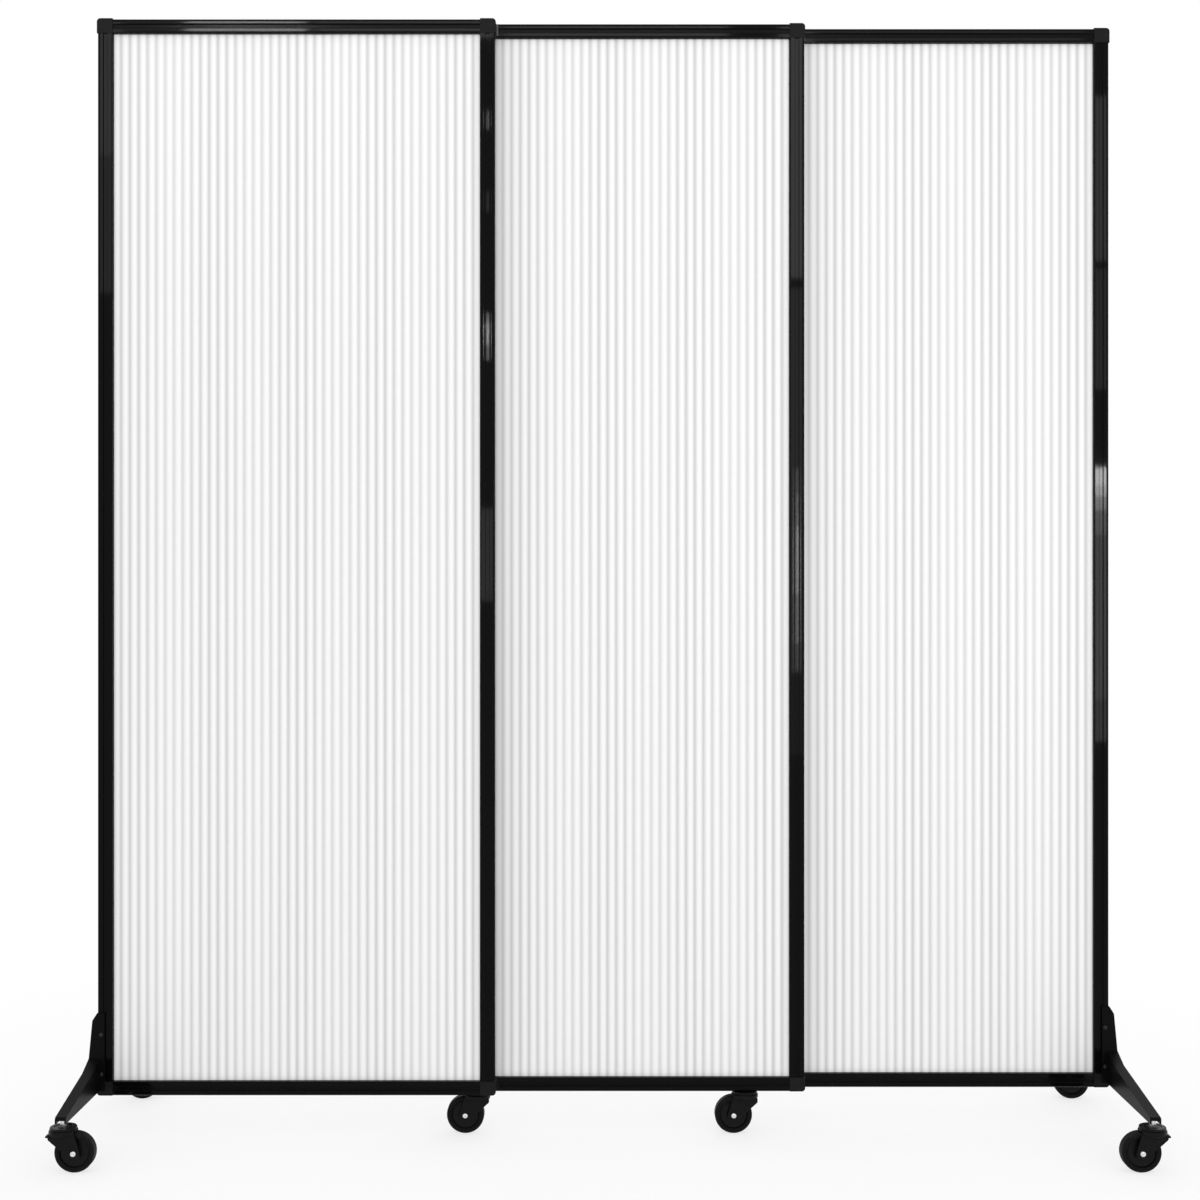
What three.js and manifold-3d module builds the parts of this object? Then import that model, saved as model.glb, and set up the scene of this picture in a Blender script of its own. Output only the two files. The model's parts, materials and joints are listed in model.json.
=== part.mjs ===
import * as THREE from 'three';
import { mergeVertices } from 'three/addons/utils/BufferGeometryUtils.js';
import Module from 'manifold-3d';

// Ward privacy screen on wheels: three framed fluted panels that slide past one another.
// The two end panels stand on a pair of legs each, and six swivel casters carry it all.
// Millimetres. +X runs along the screen, -Y is the front, +Z is up and the floor is Z = 0.

// General fits
const clearance = 0.3; // gap between pieces that meet
const overrun = 1; // how far a cut passes the face that it opens

// Panels
const overallHeight = 2235;
const panelWidth = 793;
const panelOverlap = 172; // how far open neighbours still cover one another
const panelGap = 3; // air between neighbouring frames, front to back
const frameDepth = 25;
const stileFace = 30;
const railFace = 28;

// Frame extrusion
const memberWall = 2;
const grooveWidth = 7.4; // the guide shoes run in this groove
const grooveDepth = 2.5;
const channelDepth = 9; // seat of the sheet
const outerEdgeRadius = 3;
const innerEdgeRadius = 1.2;

// Corner pieces
const cornerProud = 1.5; // beyond the stile's outer side and the top rail
const cornerFaceProud = 0.8; // beyond the frame's front and back
const cornerRadius = 7;
const tongueLength = 40;

// Fluted sheet
const sheetThickness = 10;
const sheetSkin = 0.7;
const sheetRib = 0.6;
const flutePitch = 17.6;

// Caster wheel
const wheelDiameter = 75;
const treadWidth = 24;
const treadFlat = 12; // width of the cylindrical middle of the tread
const treadShoulder = 2.5; // how much smaller the tread is at its sides
const rimDepth = 7.5;
const webThickness = 14;
const hubDiameter = 23;
const hubWidth = 26.4;
const wheelDish = 1; // slope of the recess walls

// Caster swivel and fork
const casterTrail = 23; // how far the axle lies behind the kingpin
const tyreGap = 2.5; // wheel to fork, all round the top
const crownWeb = 2.1; // thickness of the crown over the wheel
const crownHeight = 8;
const crownDiameter = 54;
const racewayDiameter = 50;
const racewayThickness = 4.8;
const racewayEdge = 1.2; // bevel round the raceway
const kingpinDiameter = 8;
const kingpinHeadDiameter = 14;
const kingpinHeadThickness = 3.4;
const threadDiameter = 10;
const forkPlate = 2.5;
const forkEndRadius = 12; // round end about the axle
const forkFrontReach = 25; // from the kingpin to the fork's leading corner
const forkFrontDrop = 8; // height of that corner below the crown
const forkRearReach = 25; // from the kingpin to the fork's trailing edge, under the crown

// Axle bolt
const axleDiameter = 8;
const axleHeadDiameter = 11;
const axleHeadThickness = 3.6;
const axleNutDiameter = 13;
const axleNutThickness = 5;

// Brake pedal
const pedalPivotForward = 14; // from the kingpin, away from the wheel
const pedalPivotDrop = 6.6; // below the crown
const pedalPinDiameter = 5;
const pedalReach = 16.5; // from the pivot to the toe
const pedalThickness = 4;
const pedalRise = 4.9; // top of the pedal above the pivot
const pedalHeelDrop = 10.2; // brake shoe below the pivot
const pedalHeelWidth = 3.6;
const pedalBack = 5.5; // from the pivot to the pedal's inner end

// Legs
const stemSpread = 460; // front to back, between the two casters of a foot
const legStemOutset = 6.5; // caster's axis outside the stile's outer side
const armWidth = 21;
const legUndersideRise = 9; // above the panel's underside
const armTipThickness = 12;
const armTipBeyondStem = 19;
const armElbowForward = 44; // in front of the frame
const armElbowRise = 48; // above the underside
const armShoulderRise = 66;
const armNose = 3; // bevel at the tip
const sleeveHeight = 156;
const sleeveTopWidth = 10; // outside the stile
const sleeveChamfer = 15;
const flangeThickness = 2.5;
const flangeCover = 14.5; // how much of the stile's face the flange covers
const legWall = 3;
const bossRise = 6; // underside of the boss above the leg's underside
const bossLength = 30;
const threadEngagement = 7;
const collarDiameter = 14;

// Casters under the middle panel
const middleCasterInset = 126.5; // from the stile's outer side in to the caster's axis, on average
const middleCasterShift = 7; // both casters stand this far to the right of even
const stemNutDiameter = 15;
const stemNutThickness = 6.5;
const stemEnd = 4; // thread above the nut

// Facets of the round pieces
const wheelFacets = 20;
const stemFacets = 12;
const axleFacets = 12;
const boreFacets = 10;
const pinFacets = 8;
const crownFacets = 16;
const edgeSteps = 2;
const cornerSteps = 4;
const forkEndSteps = 6;

// Heights that stack up from the floor
const wheelRadius = wheelDiameter / 2;
const crownTop = wheelDiameter + tyreGap + crownWeb;
const crownBottom = crownTop - crownHeight;
const racewayBottom = crownTop + clearance;
const racewayTop = racewayBottom + racewayThickness;
const panelBottom = racewayTop + clearance;
const panelTop = overallHeight - cornerProud;

// Places that follow from the panels
const panelPitch = frameDepth + panelGap;
const panelStep = panelWidth - panelOverlap;
const frameFront = frameDepth / 2;
const channelWidth = sheetThickness + 2 * clearance;
const chamberHalfDepth = frameFront - grooveDepth - memberWall;
const shoeLength = (panelOverlap - clearance) / 2;
const middleCasterX = (side) => side * (panelWidth / 2 - middleCasterInset) + middleCasterShift;
const forkInner = hubWidth / 2 + clearance;
const forkOuter = forkInner + forkPlate;
const legUnderside = panelBottom + legUndersideRise;
const bossUnderside = legUnderside + bossRise;
const flangeFront = frameFront + clearance + flangeThickness;
const pedalPivotHeight = crownBottom - pedalPivotDrop;

const wasm = await Module();
wasm.setup();

// Finishes
const finishes = {
  frame: { color: 0x111113, roughness: 0.22, metalness: 0.3 },
  corner: { color: 0x1c1c1e, roughness: 0.5, metalness: 0 },
  sheet: { color: 0xf1f2f3, roughness: 0.3, metalness: 0 },
  leg: { color: 0x141416, roughness: 0.35, metalness: 0.2 },
  fork: { color: 0x18181a, roughness: 0.4, metalness: 0.4 },
  wheel: { color: 0x161617, roughness: 0.55, metalness: 0 },
  zinc: { color: 0xc9cbcd, roughness: 0.3, metalness: 0.9 },
  pedal: { color: 0x1a1a1c, roughness: 0.5, metalness: 0 },
};

/** A named mesh with a finish of its own. */
function piece(name, geometry, finish) {
  const mesh = new THREE.Mesh(geometry, new THREE.MeshStandardMaterial(finishes[finish]));
  mesh.name = name;
  return mesh;
}

/** A closed geometry as a solid that can be joined and cut. */
function solid(geometry) {
  const bare = geometry.clone();
  bare.deleteAttribute('normal');
  bare.deleteAttribute('uv');
  const merged = mergeVertices(bare);
  const triangles = [];
  for (let corner = 0; corner < merged.index.count; corner += 3) {
    const [a, b, c] = merged.index.array.slice(corner, corner + 3);
    if (a !== b && b !== c && c !== a) {
      triangles.push(a, b, c);
    }
  }
  return new wasm.Manifold(new wasm.Mesh({
    numProp: 3,
    vertProperties: merged.attributes.position.array,
    triVerts: new Uint32Array(triangles),
  }));
}

/** The geometry of a solid. */
function geometryOf(body) {
  const { vertProperties, triVerts } = body.getMesh();
  const geometry = new THREE.BufferGeometry();
  geometry.setAttribute('position', new THREE.BufferAttribute(vertProperties, 3));
  geometry.setIndex(new THREE.BufferAttribute(triVerts, 1));
  geometry.computeVertexNormals();
  return geometry;
}

/** An outline, given as points, with its holes. The outline is made to run counterclockwise. */
function outlineShape(points, holes = []) {
  const ring = points.map(([a, b]) => new THREE.Vector2(a, b));
  if (THREE.ShapeUtils.isClockWise(ring)) {
    ring.reverse();
  }
  const shape = new THREE.Shape(ring);
  for (const hole of holes) {
    shape.holes.push(new THREE.Path(hole.map(([a, b]) => new THREE.Vector2(a, b))));
  }
  return shape;
}

/** Extrude a shape between two places along an axis, turned by a basis of three directions. */
function extrude(shape, from, to, basis) {
  const geometry = new THREE.ExtrudeGeometry(shape, { depth: to - from, bevelEnabled: false });
  geometry.translate(0, 0, from);
  return geometry.applyMatrix4(new THREE.Matrix4().makeBasis(...basis));
}

const xDirection = new THREE.Vector3(1, 0, 0);
const yDirection = new THREE.Vector3(0, 1, 0);
const zDirection = new THREE.Vector3(0, 0, 1);

/** Extrude an outline of [x, y] points along Z. */
function alongZ(points, from, to, holes) {
  return extrude(outlineShape(points, holes), from, to, [xDirection, yDirection, zDirection]);
}

/** Extrude an outline of [y, z] points along X. */
function alongX(points, from, to, holes) {
  return extrude(outlineShape(points, holes), from, to, [yDirection, zDirection, xDirection]);
}

/** Extrude an outline of [x, z] points along Y. */
function alongY(points, from, to) {
  const basis = [xDirection, zDirection, yDirection.clone().negate()];
  return extrude(outlineShape(points), -to, -from, basis);
}

/** A box between two opposite corners. */
function box(low, high) {
  const size = high.map((value, axis) => value - low[axis]);
  const middle = high.map((value, axis) => (value + low[axis]) / 2);
  return new THREE.BoxGeometry(...size).translate(...middle);
}

/** The points of an arc, from one angle to another. */
function arc([centreA, centreB], radius, from, to, steps) {
  const points = [];
  for (let step = 0; step <= steps; step += 1) {
    const angle = from + ((to - from) * step) / steps;
    points.push([centreA + radius * Math.cos(angle), centreB + radius * Math.sin(angle)]);
  }
  return points;
}

/** A solid of revolution about Z, from [radius, height] points that run upwards. */
function turnedAboutZ(profile, facets) {
  const points = profile.map(([radius, height]) => new THREE.Vector2(radius, height));
  return new THREE.LatheGeometry(points, facets).rotateX(Math.PI / 2);
}

/** A solid of revolution about Y, with a flat facet at its lowest place. */
function turnedAboutY(profile, facets) {
  const points = profile.map(([radius, height]) => new THREE.Vector2(radius, height));
  return new THREE.LatheGeometry(points, facets).rotateY(Math.PI / facets);
}

/** A round bar along Z. */
function barZ(radius, from, to, facets) {
  return turnedAboutZ([[0, from], [radius, from], [radius, to], [0, to]], facets);
}

/** A round bar along Y. */
function barY(radius, from, to, facets) {
  return turnedAboutY([[0, from], [radius, from], [radius, to], [0, to]], facets);
}

/** Section of a frame member: outer side at 0, sheet channel at its face, one hollow chamber. */
function memberSection(face) {
  const rear = -frameFront;
  const grooveStart = (face - grooveWidth) / 2;
  const grooveEnd = grooveStart + grooveWidth;
  const channelFloor = face - channelDepth;
  const lowerHalf = [
    ...arc([outerEdgeRadius, rear + outerEdgeRadius], outerEdgeRadius, -Math.PI, -Math.PI / 2, edgeSteps),
    [grooveStart, rear],
    [grooveStart, rear + grooveDepth],
    [grooveEnd, rear + grooveDepth],
    [grooveEnd, rear],
    ...arc([face - innerEdgeRadius, rear + innerEdgeRadius], innerEdgeRadius, -Math.PI / 2, 0, edgeSteps),
    [face, -channelWidth / 2],
    [channelFloor, -channelWidth / 2],
  ];
  const upperHalf = lowerHalf.map(([across, depth]) => [across, -depth]).reverse();
  return [...lowerHalf, ...upperHalf];
}

/** Low and high edge of a member's chamber, from its outer side. */
function chamberSpan(face) {
  return [memberWall, face - channelDepth - memberWall];
}

/** Outline of a member's chamber. */
function chamberOutline(face) {
  const [low, high] = chamberSpan(face);
  const half = chamberHalfDepth;
  return [[low, -half], [high, -half], [high, half], [low, half]];
}

/** A stile with its outer side at X = 0, standing between the corner pieces. */
function stileGeometry() {
  const from = panelBottom + railFace + clearance;
  const to = panelTop - railFace - clearance;
  return alongZ(memberSection(stileFace), from, to, [chamberOutline(stileFace)]);
}

/** A rail centred on X = 0, with its outer side at Z = 0 and its channel facing up. */
function railGeometry() {
  const half = panelWidth / 2 - stileFace - clearance;
  const swap = ([across, depth]) => [depth, across];
  return alongX(memberSection(railFace).map(swap), -half, half, [chamberOutline(railFace).map(swap)]);
}

/** The middle panel's bottom rail, drilled for its two caster stems. */
function drilledRailGeometry() {
  let rail = solid(railGeometry());
  for (const side of [-1, 1]) {
    const hole = barZ(threadDiameter / 2 + clearance, -overrun, memberWall + overrun, boreFacets);
    rail = rail.subtract(solid(hole.translate(middleCasterX(side), 0, 0)));
  }
  return geometryOf(rail);
}

/** The fluted sheet: two skins joined by ribs, open at the top and bottom. */
function sheetGeometry() {
  const half = panelWidth / 2 - stileFace + channelDepth - clearance;
  const halfThickness = sheetThickness / 2;
  const low = panelBottom + railFace - channelDepth + clearance;
  const high = panelTop - railFace + channelDepth - clearance;
  const fluteCount = Math.floor((2 * half - sheetRib) / flutePitch);
  const firstRib = -(fluteCount * flutePitch) / 2;
  const depth = halfThickness - sheetSkin;
  let sheet = solid(box([-half, -halfThickness, low], [half, halfThickness, high]));
  for (let index = 0; index < fluteCount; index += 1) {
    const left = firstRib + index * flutePitch + sheetRib / 2;
    const right = left + flutePitch - sheetRib;
    sheet = sheet.subtract(solid(box([left, -depth, low - overrun], [right, depth, high + overrun])));
  }
  return geometryOf(sheet);
}

/**
 * A corner piece with its tongues, for the lower left corner: outer sides at X = 0 and Z = 0.
 * A top piece stands proud of its rail, and guideSide says where a guide shoe is: 1 on the back,
 * -1 on the front, 0 for none.
 */
function cornerSolid(isTop, guideSide) {
  const bottom = isTop ? -cornerProud : 0;
  const left = -cornerProud;
  const face = frameFront + cornerFaceProud;
  const rounded = arc(
    [left + cornerRadius, bottom + cornerRadius],
    cornerRadius,
    Math.PI,
    Math.PI * 1.5,
    cornerSteps,
  );
  const blockOutline = [...rounded, [stileFace, bottom], [stileFace, railFace], [left, railFace]];
  let corner = solid(alongY(blockOutline, -face, face));

  const half = chamberHalfDepth - clearance;
  const [stileLow, stileHigh] = chamberSpan(stileFace);
  const stileTongue = box(
    [stileLow + clearance, -half, railFace - overrun],
    [stileHigh - clearance, half, railFace + tongueLength],
  );
  const [railLow, railHigh] = chamberSpan(railFace);
  const railTongue = box(
    [stileFace - overrun, -half, railLow + clearance],
    [stileFace + tongueLength, half, railHigh - clearance],
  );
  corner = corner.add(solid(stileTongue)).add(solid(railTongue));

  const sheetSeat = box(
    [stileFace - channelDepth, -channelWidth / 2, railFace - channelDepth],
    [stileFace + overrun, channelWidth / 2, railFace + overrun],
  );
  corner = corner.subtract(solid(sheetSeat));

  if (guideSide !== 0) {
    const shoeHalf = grooveWidth / 2 - clearance;
    const near = guideSide * (frameFront - grooveDepth + clearance);
    const far = guideSide * (frameFront + panelGap + grooveDepth - clearance);
    const shoe = box(
      [0, Math.min(near, far), railFace / 2 - shoeHalf],
      [shoeLength, Math.max(near, far), railFace / 2 + shoeHalf],
    );
    corner = corner.add(solid(shoe));
  }
  return corner;
}

/** One of a panel's corner pieces, in the panel's own place. */
function cornerPiece(panelName, isTop, isRight, guideSide) {
  let corner = cornerSolid(isTop, guideSide);
  if (isRight) {
    corner = corner.mirror([1, 0, 0]);
  }
  if (isTop) {
    corner = corner.mirror([0, 0, 1]);
  }
  const name = `${panelName}_${isTop ? 'top' : 'bottom'}_${isRight ? 'right' : 'left'}_corner`;
  const mesh = piece(name, geometryOf(corner), 'corner');
  mesh.position.set(((isRight ? 1 : -1) * panelWidth) / 2, 0, isTop ? panelTop : panelBottom);
  return mesh;
}

/** One framed panel. guides gives the side of the guide shoe at its left and right corners. */
function panel(name, guides, bottomRailGeometry) {
  const group = new THREE.Group();

  const leftStile = piece(`${name}_left_stile`, stileGeometry(), 'frame');
  leftStile.position.x = -panelWidth / 2;
  const rightStile = piece(`${name}_right_stile`, stileGeometry(), 'frame');
  rightStile.position.x = panelWidth / 2;
  rightStile.rotation.z = Math.PI;

  const bottomRail = piece(`${name}_bottom_rail`, bottomRailGeometry, 'frame');
  bottomRail.position.z = panelBottom;
  const topRail = piece(`${name}_top_rail`, railGeometry(), 'frame');
  topRail.position.z = panelTop;
  topRail.rotation.y = Math.PI;

  const sheet = piece(`${name}_sheet`, sheetGeometry(), 'sheet');
  group.add(leftStile, rightStile, bottomRail, topRail, sheet);

  for (const isTop of [false, true]) {
    group.add(cornerPiece(name, isTop, false, guides.left));
    group.add(cornerPiece(name, isTop, true, guides.right));
  }
  return group;
}

/**
 * A leg that reaches forward, to -Y, from the frame. The stile's outer side is X = 0, and outward
 * is 1 where the outside is +X and -1 where it is -X. reach is the caster's distance in front.
 */
function legSolid(outward, reach) {
  const side = (points) => points.map(([forward, height]) => [-forward, height]);
  const front = (points) => points.map(([across, height]) => [outward * across, height]);
  const spanX = (low, high) => (outward > 0 ? [low, high] : [-high, -low]);

  const armInner = legStemOutset - armWidth / 2;
  const armOuter = legStemOutset + armWidth / 2;
  const back = clearance / 2;
  const elbow = frameFront + armElbowForward;
  const tip = reach + armTipBeyondStem;
  const tipTop = legUnderside + armTipThickness;
  const elbowTop = legUnderside + armElbowRise;
  const shoulderTop = legUnderside + armShoulderRise;
  const sleeveTop = legUnderside + sleeveHeight;

  const armOutline = [
    [back, legUnderside],
    [back, shoulderTop],
    [flangeFront, shoulderTop],
    [elbow, elbowTop],
    [tip - armNose, tipTop],
    [tip, tipTop - armNose],
    [tip, legUnderside],
  ];
  const sleeveOutline = [
    [-flangeCover, legUnderside],
    [armOuter, legUnderside],
    [armOuter, shoulderTop],
    [sleeveTopWidth, sleeveTop - sleeveChamfer],
    [clearance, sleeveTop],
    [-flangeCover, sleeveTop],
  ];
  const arm = solid(alongX(side(armOutline), ...spanX(armInner, armOuter)));
  const sleeve = solid(alongY(front(sleeveOutline), -flangeFront, -back));

  const stileSpace = box(
    [spanX(-stileFace, clearance)[0], -frameFront - clearance, 0],
    [spanX(-stileFace, clearance)[1], overrun, sleeveTop + overrun],
  );
  const cornerSide = cornerProud + clearance;
  const cornerSpace = box(
    [spanX(-stileFace, cornerSide)[0], -frameFront - cornerFaceProud - clearance, 0],
    [spanX(-stileFace, cornerSide)[1], overrun, panelBottom + railFace + clearance],
  );

  const webStart = flangeFront + legWall;
  const bossStart = reach - bossLength / 2;
  const slope = (elbowTop - tipTop) / (tip - armNose - elbow);
  const webOverBoss = elbowTop - slope * (bossStart - elbow) - legWall;
  const hollowOutline = [
    [webStart, legUnderside - overrun],
    [webStart, elbowTop],
    [elbow, elbowTop - legWall],
    [bossStart, webOverBoss],
    [bossStart, bossUnderside],
    [tip + overrun, bossUnderside],
    [tip + overrun, legUnderside - overrun],
  ];
  const hollow = alongX(side(hollowOutline), ...spanX(armInner + legWall, armOuter - legWall));

  const threadHole = barZ(
    threadDiameter / 2 + clearance,
    bossUnderside - overrun,
    bossUnderside + threadEngagement + clearance,
    boreFacets,
  );
  threadHole.translate(outward * legStemOutset, -reach, 0);

  return arm
    .add(sleeve)
    .subtract(solid(stileSpace))
    .subtract(solid(cornerSpace))
    .subtract(solid(hollow))
    .subtract(solid(threadHole));
}

/** The leg at one end of the screen, at the front or at the back. */
function leg(endName, isFront) {
  const endSide = endName === 'left' ? -1 : 1;
  const facing = isFront ? 1 : -1;
  const panelY = endSide * panelPitch;
  const reach = stemSpread / 2 + facing * panelY;
  const name = `${endName}_${isFront ? 'front' : 'rear'}_leg`;
  const mesh = piece(name, geometryOf(legSolid(endSide * facing, reach)), 'leg');
  mesh.position.set(endSide * (panelStep + panelWidth / 2), panelY, 0);
  mesh.rotation.z = isFront ? 0 : Math.PI;
  return mesh;
}

/** Kingpin and raceway of a caster, from the head under the crown up to the raceway's top. */
function swivelProfile() {
  const headTop = crownBottom + clearance + kingpinHeadThickness;
  const kingpinRadius = kingpinDiameter / 2;
  const headRadius = kingpinHeadDiameter / 2;
  const racewayRadius = racewayDiameter / 2;
  return [
    [0, crownBottom + clearance],
    [headRadius, crownBottom + clearance],
    [headRadius, headTop],
    [kingpinRadius, headTop],
    [kingpinRadius, racewayBottom],
    [racewayRadius, racewayBottom],
    [racewayRadius, racewayTop - racewayEdge],
    [racewayRadius - racewayEdge, racewayTop],
  ];
}

/** The stem of a caster that screws into a leg. */
function legStemGeometry() {
  const collarTop = bossUnderside - clearance;
  const top = bossUnderside + threadEngagement;
  const profile = [
    ...swivelProfile(),
    [collarDiameter / 2, racewayTop],
    [collarDiameter / 2, collarTop],
    [threadDiameter / 2, collarTop],
    [threadDiameter / 2, top],
    [0, top],
  ];
  return turnedAboutZ(profile, stemFacets);
}

/** The stem of a caster under the middle panel, with its nut inside the bottom rail. */
function railStemGeometry() {
  const nutBottom = panelBottom + memberWall + clearance;
  const nutTop = nutBottom + stemNutThickness;
  const profile = [
    ...swivelProfile(),
    [threadDiameter / 2, racewayTop],
    [threadDiameter / 2, nutBottom],
    [stemNutDiameter / 2, nutBottom],
    [stemNutDiameter / 2, nutTop],
    [threadDiameter / 2, nutTop],
    [threadDiameter / 2, nutTop + stemEnd],
    [0, nutTop + stemEnd],
  ];
  return turnedAboutZ(profile, stemFacets);
}

/** The fork: a round crown on two plates, bored for the kingpin and the axle. The wheel trails to -X. */
function forkGeometry(hasPedal) {
  const endCentre = [-casterTrail, wheelRadius];
  const plateOutline = [
    [forkFrontReach, crownBottom + overrun],
    [forkFrontReach, crownBottom - forkFrontDrop],
    ...arc(endCentre, forkEndRadius, -Math.PI / 4, -Math.PI, forkEndSteps),
    [-forkRearReach, crownBottom + overrun],
  ];
  const crown = barZ(crownDiameter / 2, crownBottom, crownTop, crownFacets);
  let fork = solid(crown);
  for (const side of [-1, 1]) {
    const faces = [side * forkInner, side * forkOuter];
    fork = fork.add(solid(alongY(plateOutline, Math.min(...faces), Math.max(...faces))));
  }

  const wheelSpace = barY(wheelRadius + tyreGap, -forkInner, forkInner, wheelFacets);
  wheelSpace.translate(-casterTrail, 0, wheelRadius);
  const kingpinBore = barZ(kingpinDiameter / 2 + clearance, 0, crownTop + overrun, boreFacets);
  const headSeatTop = crownBottom + kingpinHeadThickness + 2 * clearance;
  const headSeatRadius = kingpinHeadDiameter / 2 + clearance;
  const headSeat = barZ(headSeatRadius, crownBottom - crownHeight, headSeatTop, stemFacets);
  const acrossFork = [-forkOuter - overrun, forkOuter + overrun];
  const axleBore = barY(axleDiameter / 2 + clearance, ...acrossFork, boreFacets);
  axleBore.translate(-casterTrail, 0, wheelRadius);
  for (const cut of [wheelSpace, kingpinBore, headSeat, axleBore]) {
    fork = fork.subtract(solid(cut));
  }
  if (hasPedal) {
    const pinBore = barY(pedalPinDiameter / 2 + clearance, ...acrossFork, pinFacets);
    fork = fork.subtract(solid(pinBore.translate(pedalPivotForward, 0, pedalPivotHeight)));
  }
  return geometryOf(fork);
}

/** The wheel, centred on its own axis, with a recess round the hub on both sides. */
function wheelGeometry() {
  const toVertex = 1 / Math.cos(Math.PI / wheelFacets);
  const boreRadius = axleDiameter / 2 + clearance;
  const hubRadius = hubDiameter / 2;
  const sideRadius = wheelRadius - treadShoulder;
  const rimInner = sideRadius - rimDepth;
  const halfProfile = [
    [boreRadius, hubWidth / 2],
    [hubRadius, hubWidth / 2],
    [hubRadius + wheelDish, webThickness / 2],
    [rimInner - wheelDish, webThickness / 2],
    [rimInner, treadWidth / 2],
    [sideRadius, treadWidth / 2],
    [wheelRadius, treadFlat / 2],
  ];
  const scaled = halfProfile.map(([radius, across]) => [radius * toVertex, across]);
  const lower = scaled.map(([radius, across]) => [radius, -across]);
  const profile = [...lower, ...scaled.reverse(), lower[0]];
  return turnedAboutY(profile, wheelFacets);
}

/** The axle bolt with its nut, centred on the wheel, with its head to the front. */
function axleGeometry() {
  const seat = forkOuter + clearance;
  const headRadius = axleHeadDiameter / 2;
  const shankRadius = axleDiameter / 2;
  const nutRadius = axleNutDiameter / 2;
  const profile = [
    [0, -seat - axleHeadThickness],
    [headRadius, -seat - axleHeadThickness],
    [headRadius, -seat],
    [shankRadius, -seat],
    [shankRadius, seat],
    [nutRadius, seat],
    [nutRadius, seat + axleNutThickness],
    [0, seat + axleNutThickness],
  ];
  return turnedAboutY(profile, axleFacets);
}

/** The brake pedal, about its own pivot: toe to +X, brake shoe below, pins at both sides. */
function pedalGeometry() {
  const toe = pedalReach;
  const outline = [
    [-pedalBack, pedalRise],
    [toe - pedalThickness / 2, pedalRise],
    [toe, pedalRise - pedalThickness / 2],
    [toe - pedalThickness / 2, pedalRise - pedalThickness],
    [pedalHeelWidth * 2, -pedalThickness / 2],
    [pedalHeelWidth + clearance, -pedalHeelDrop],
    [clearance, -pedalHeelDrop],
    [-pedalBack, -pedalThickness / 2],
  ];
  const halfWidth = forkInner - clearance;
  const body = solid(alongY(outline, -halfWidth, halfWidth));
  const pins = solid(barY(pedalPinDiameter / 2, -forkOuter, forkOuter, pinFacets));
  return geometryOf(body.add(pins));
}

/** A whole caster on a stem at [x, y]. trailing is -1 where the wheel trails to -X and 1 to +X. */
function caster(name, [x, y], trailing, stemGeometry, hasPedal) {
  const group = new THREE.Group();
  group.position.set(x, y, 0);
  const turn = trailing < 0 ? 0 : Math.PI;

  const stem = piece(`${name}_caster_stem`, stemGeometry, 'zinc');
  const fork = piece(`${name}_caster_fork`, forkGeometry(hasPedal), 'fork');
  fork.rotation.z = turn;
  const wheel = piece(`${name}_caster_wheel`, wheelGeometry(), 'wheel');
  const axle = piece(`${name}_caster_axle`, axleGeometry(), 'zinc');
  for (const round of [wheel, axle]) {
    round.position.set(trailing * casterTrail, 0, wheelRadius);
  }
  group.add(stem, fork, wheel, axle);

  if (hasPedal) {
    const pedal = piece(`${name}_brake_pedal`, pedalGeometry(), 'pedal');
    pedal.position.set(-trailing * pedalPivotForward, 0, pedalPivotHeight);
    pedal.rotation.z = turn;
    group.add(pedal);
  }
  return group;
}

const screen = new THREE.Group();

const leftPanel = panel('left', { left: 0, right: 1 }, railGeometry());
leftPanel.position.set(-panelStep, -panelPitch, 0);
const middlePanel = panel('middle', { left: -1, right: 1 }, drilledRailGeometry());
const rightPanel = panel('right', { left: -1, right: 0 }, railGeometry());
rightPanel.position.set(panelStep, panelPitch, 0);
screen.add(leftPanel, middlePanel, rightPanel);

for (const endName of ['left', 'right']) {
  const endSide = endName === 'left' ? -1 : 1;
  const stemX = endSide * (panelStep + panelWidth / 2 + legStemOutset);
  for (const isFront of [true, false]) {
    const stemY = ((isFront ? -1 : 1) * stemSpread) / 2;
    const name = `${endName}_${isFront ? 'front' : 'rear'}`;
    screen.add(leg(endName, isFront));
    screen.add(caster(name, [stemX, stemY], -endSide, legStemGeometry(), true));
  }
  const middleName = `middle_${endName}`;
  screen.add(caster(middleName, [middleCasterX(endSide), 0], -1, railStemGeometry(), false));
}

export default screen;
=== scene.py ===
"""Ward privacy screen on wheels, finished around its frame.

Three framed fluted panels slide past one another. The end panels stand on cast legs, and six swivel
casters carry the screen. Metres: +X runs along the screen, -Y is the front and +Z is up.
"""

import json
import logging
import math
from collections.abc import Callable, Iterator
from contextlib import contextmanager
from dataclasses import dataclass
from enum import Enum
from functools import cache

import bmesh
import bpy
from mathutils import Matrix, Vector

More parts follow.
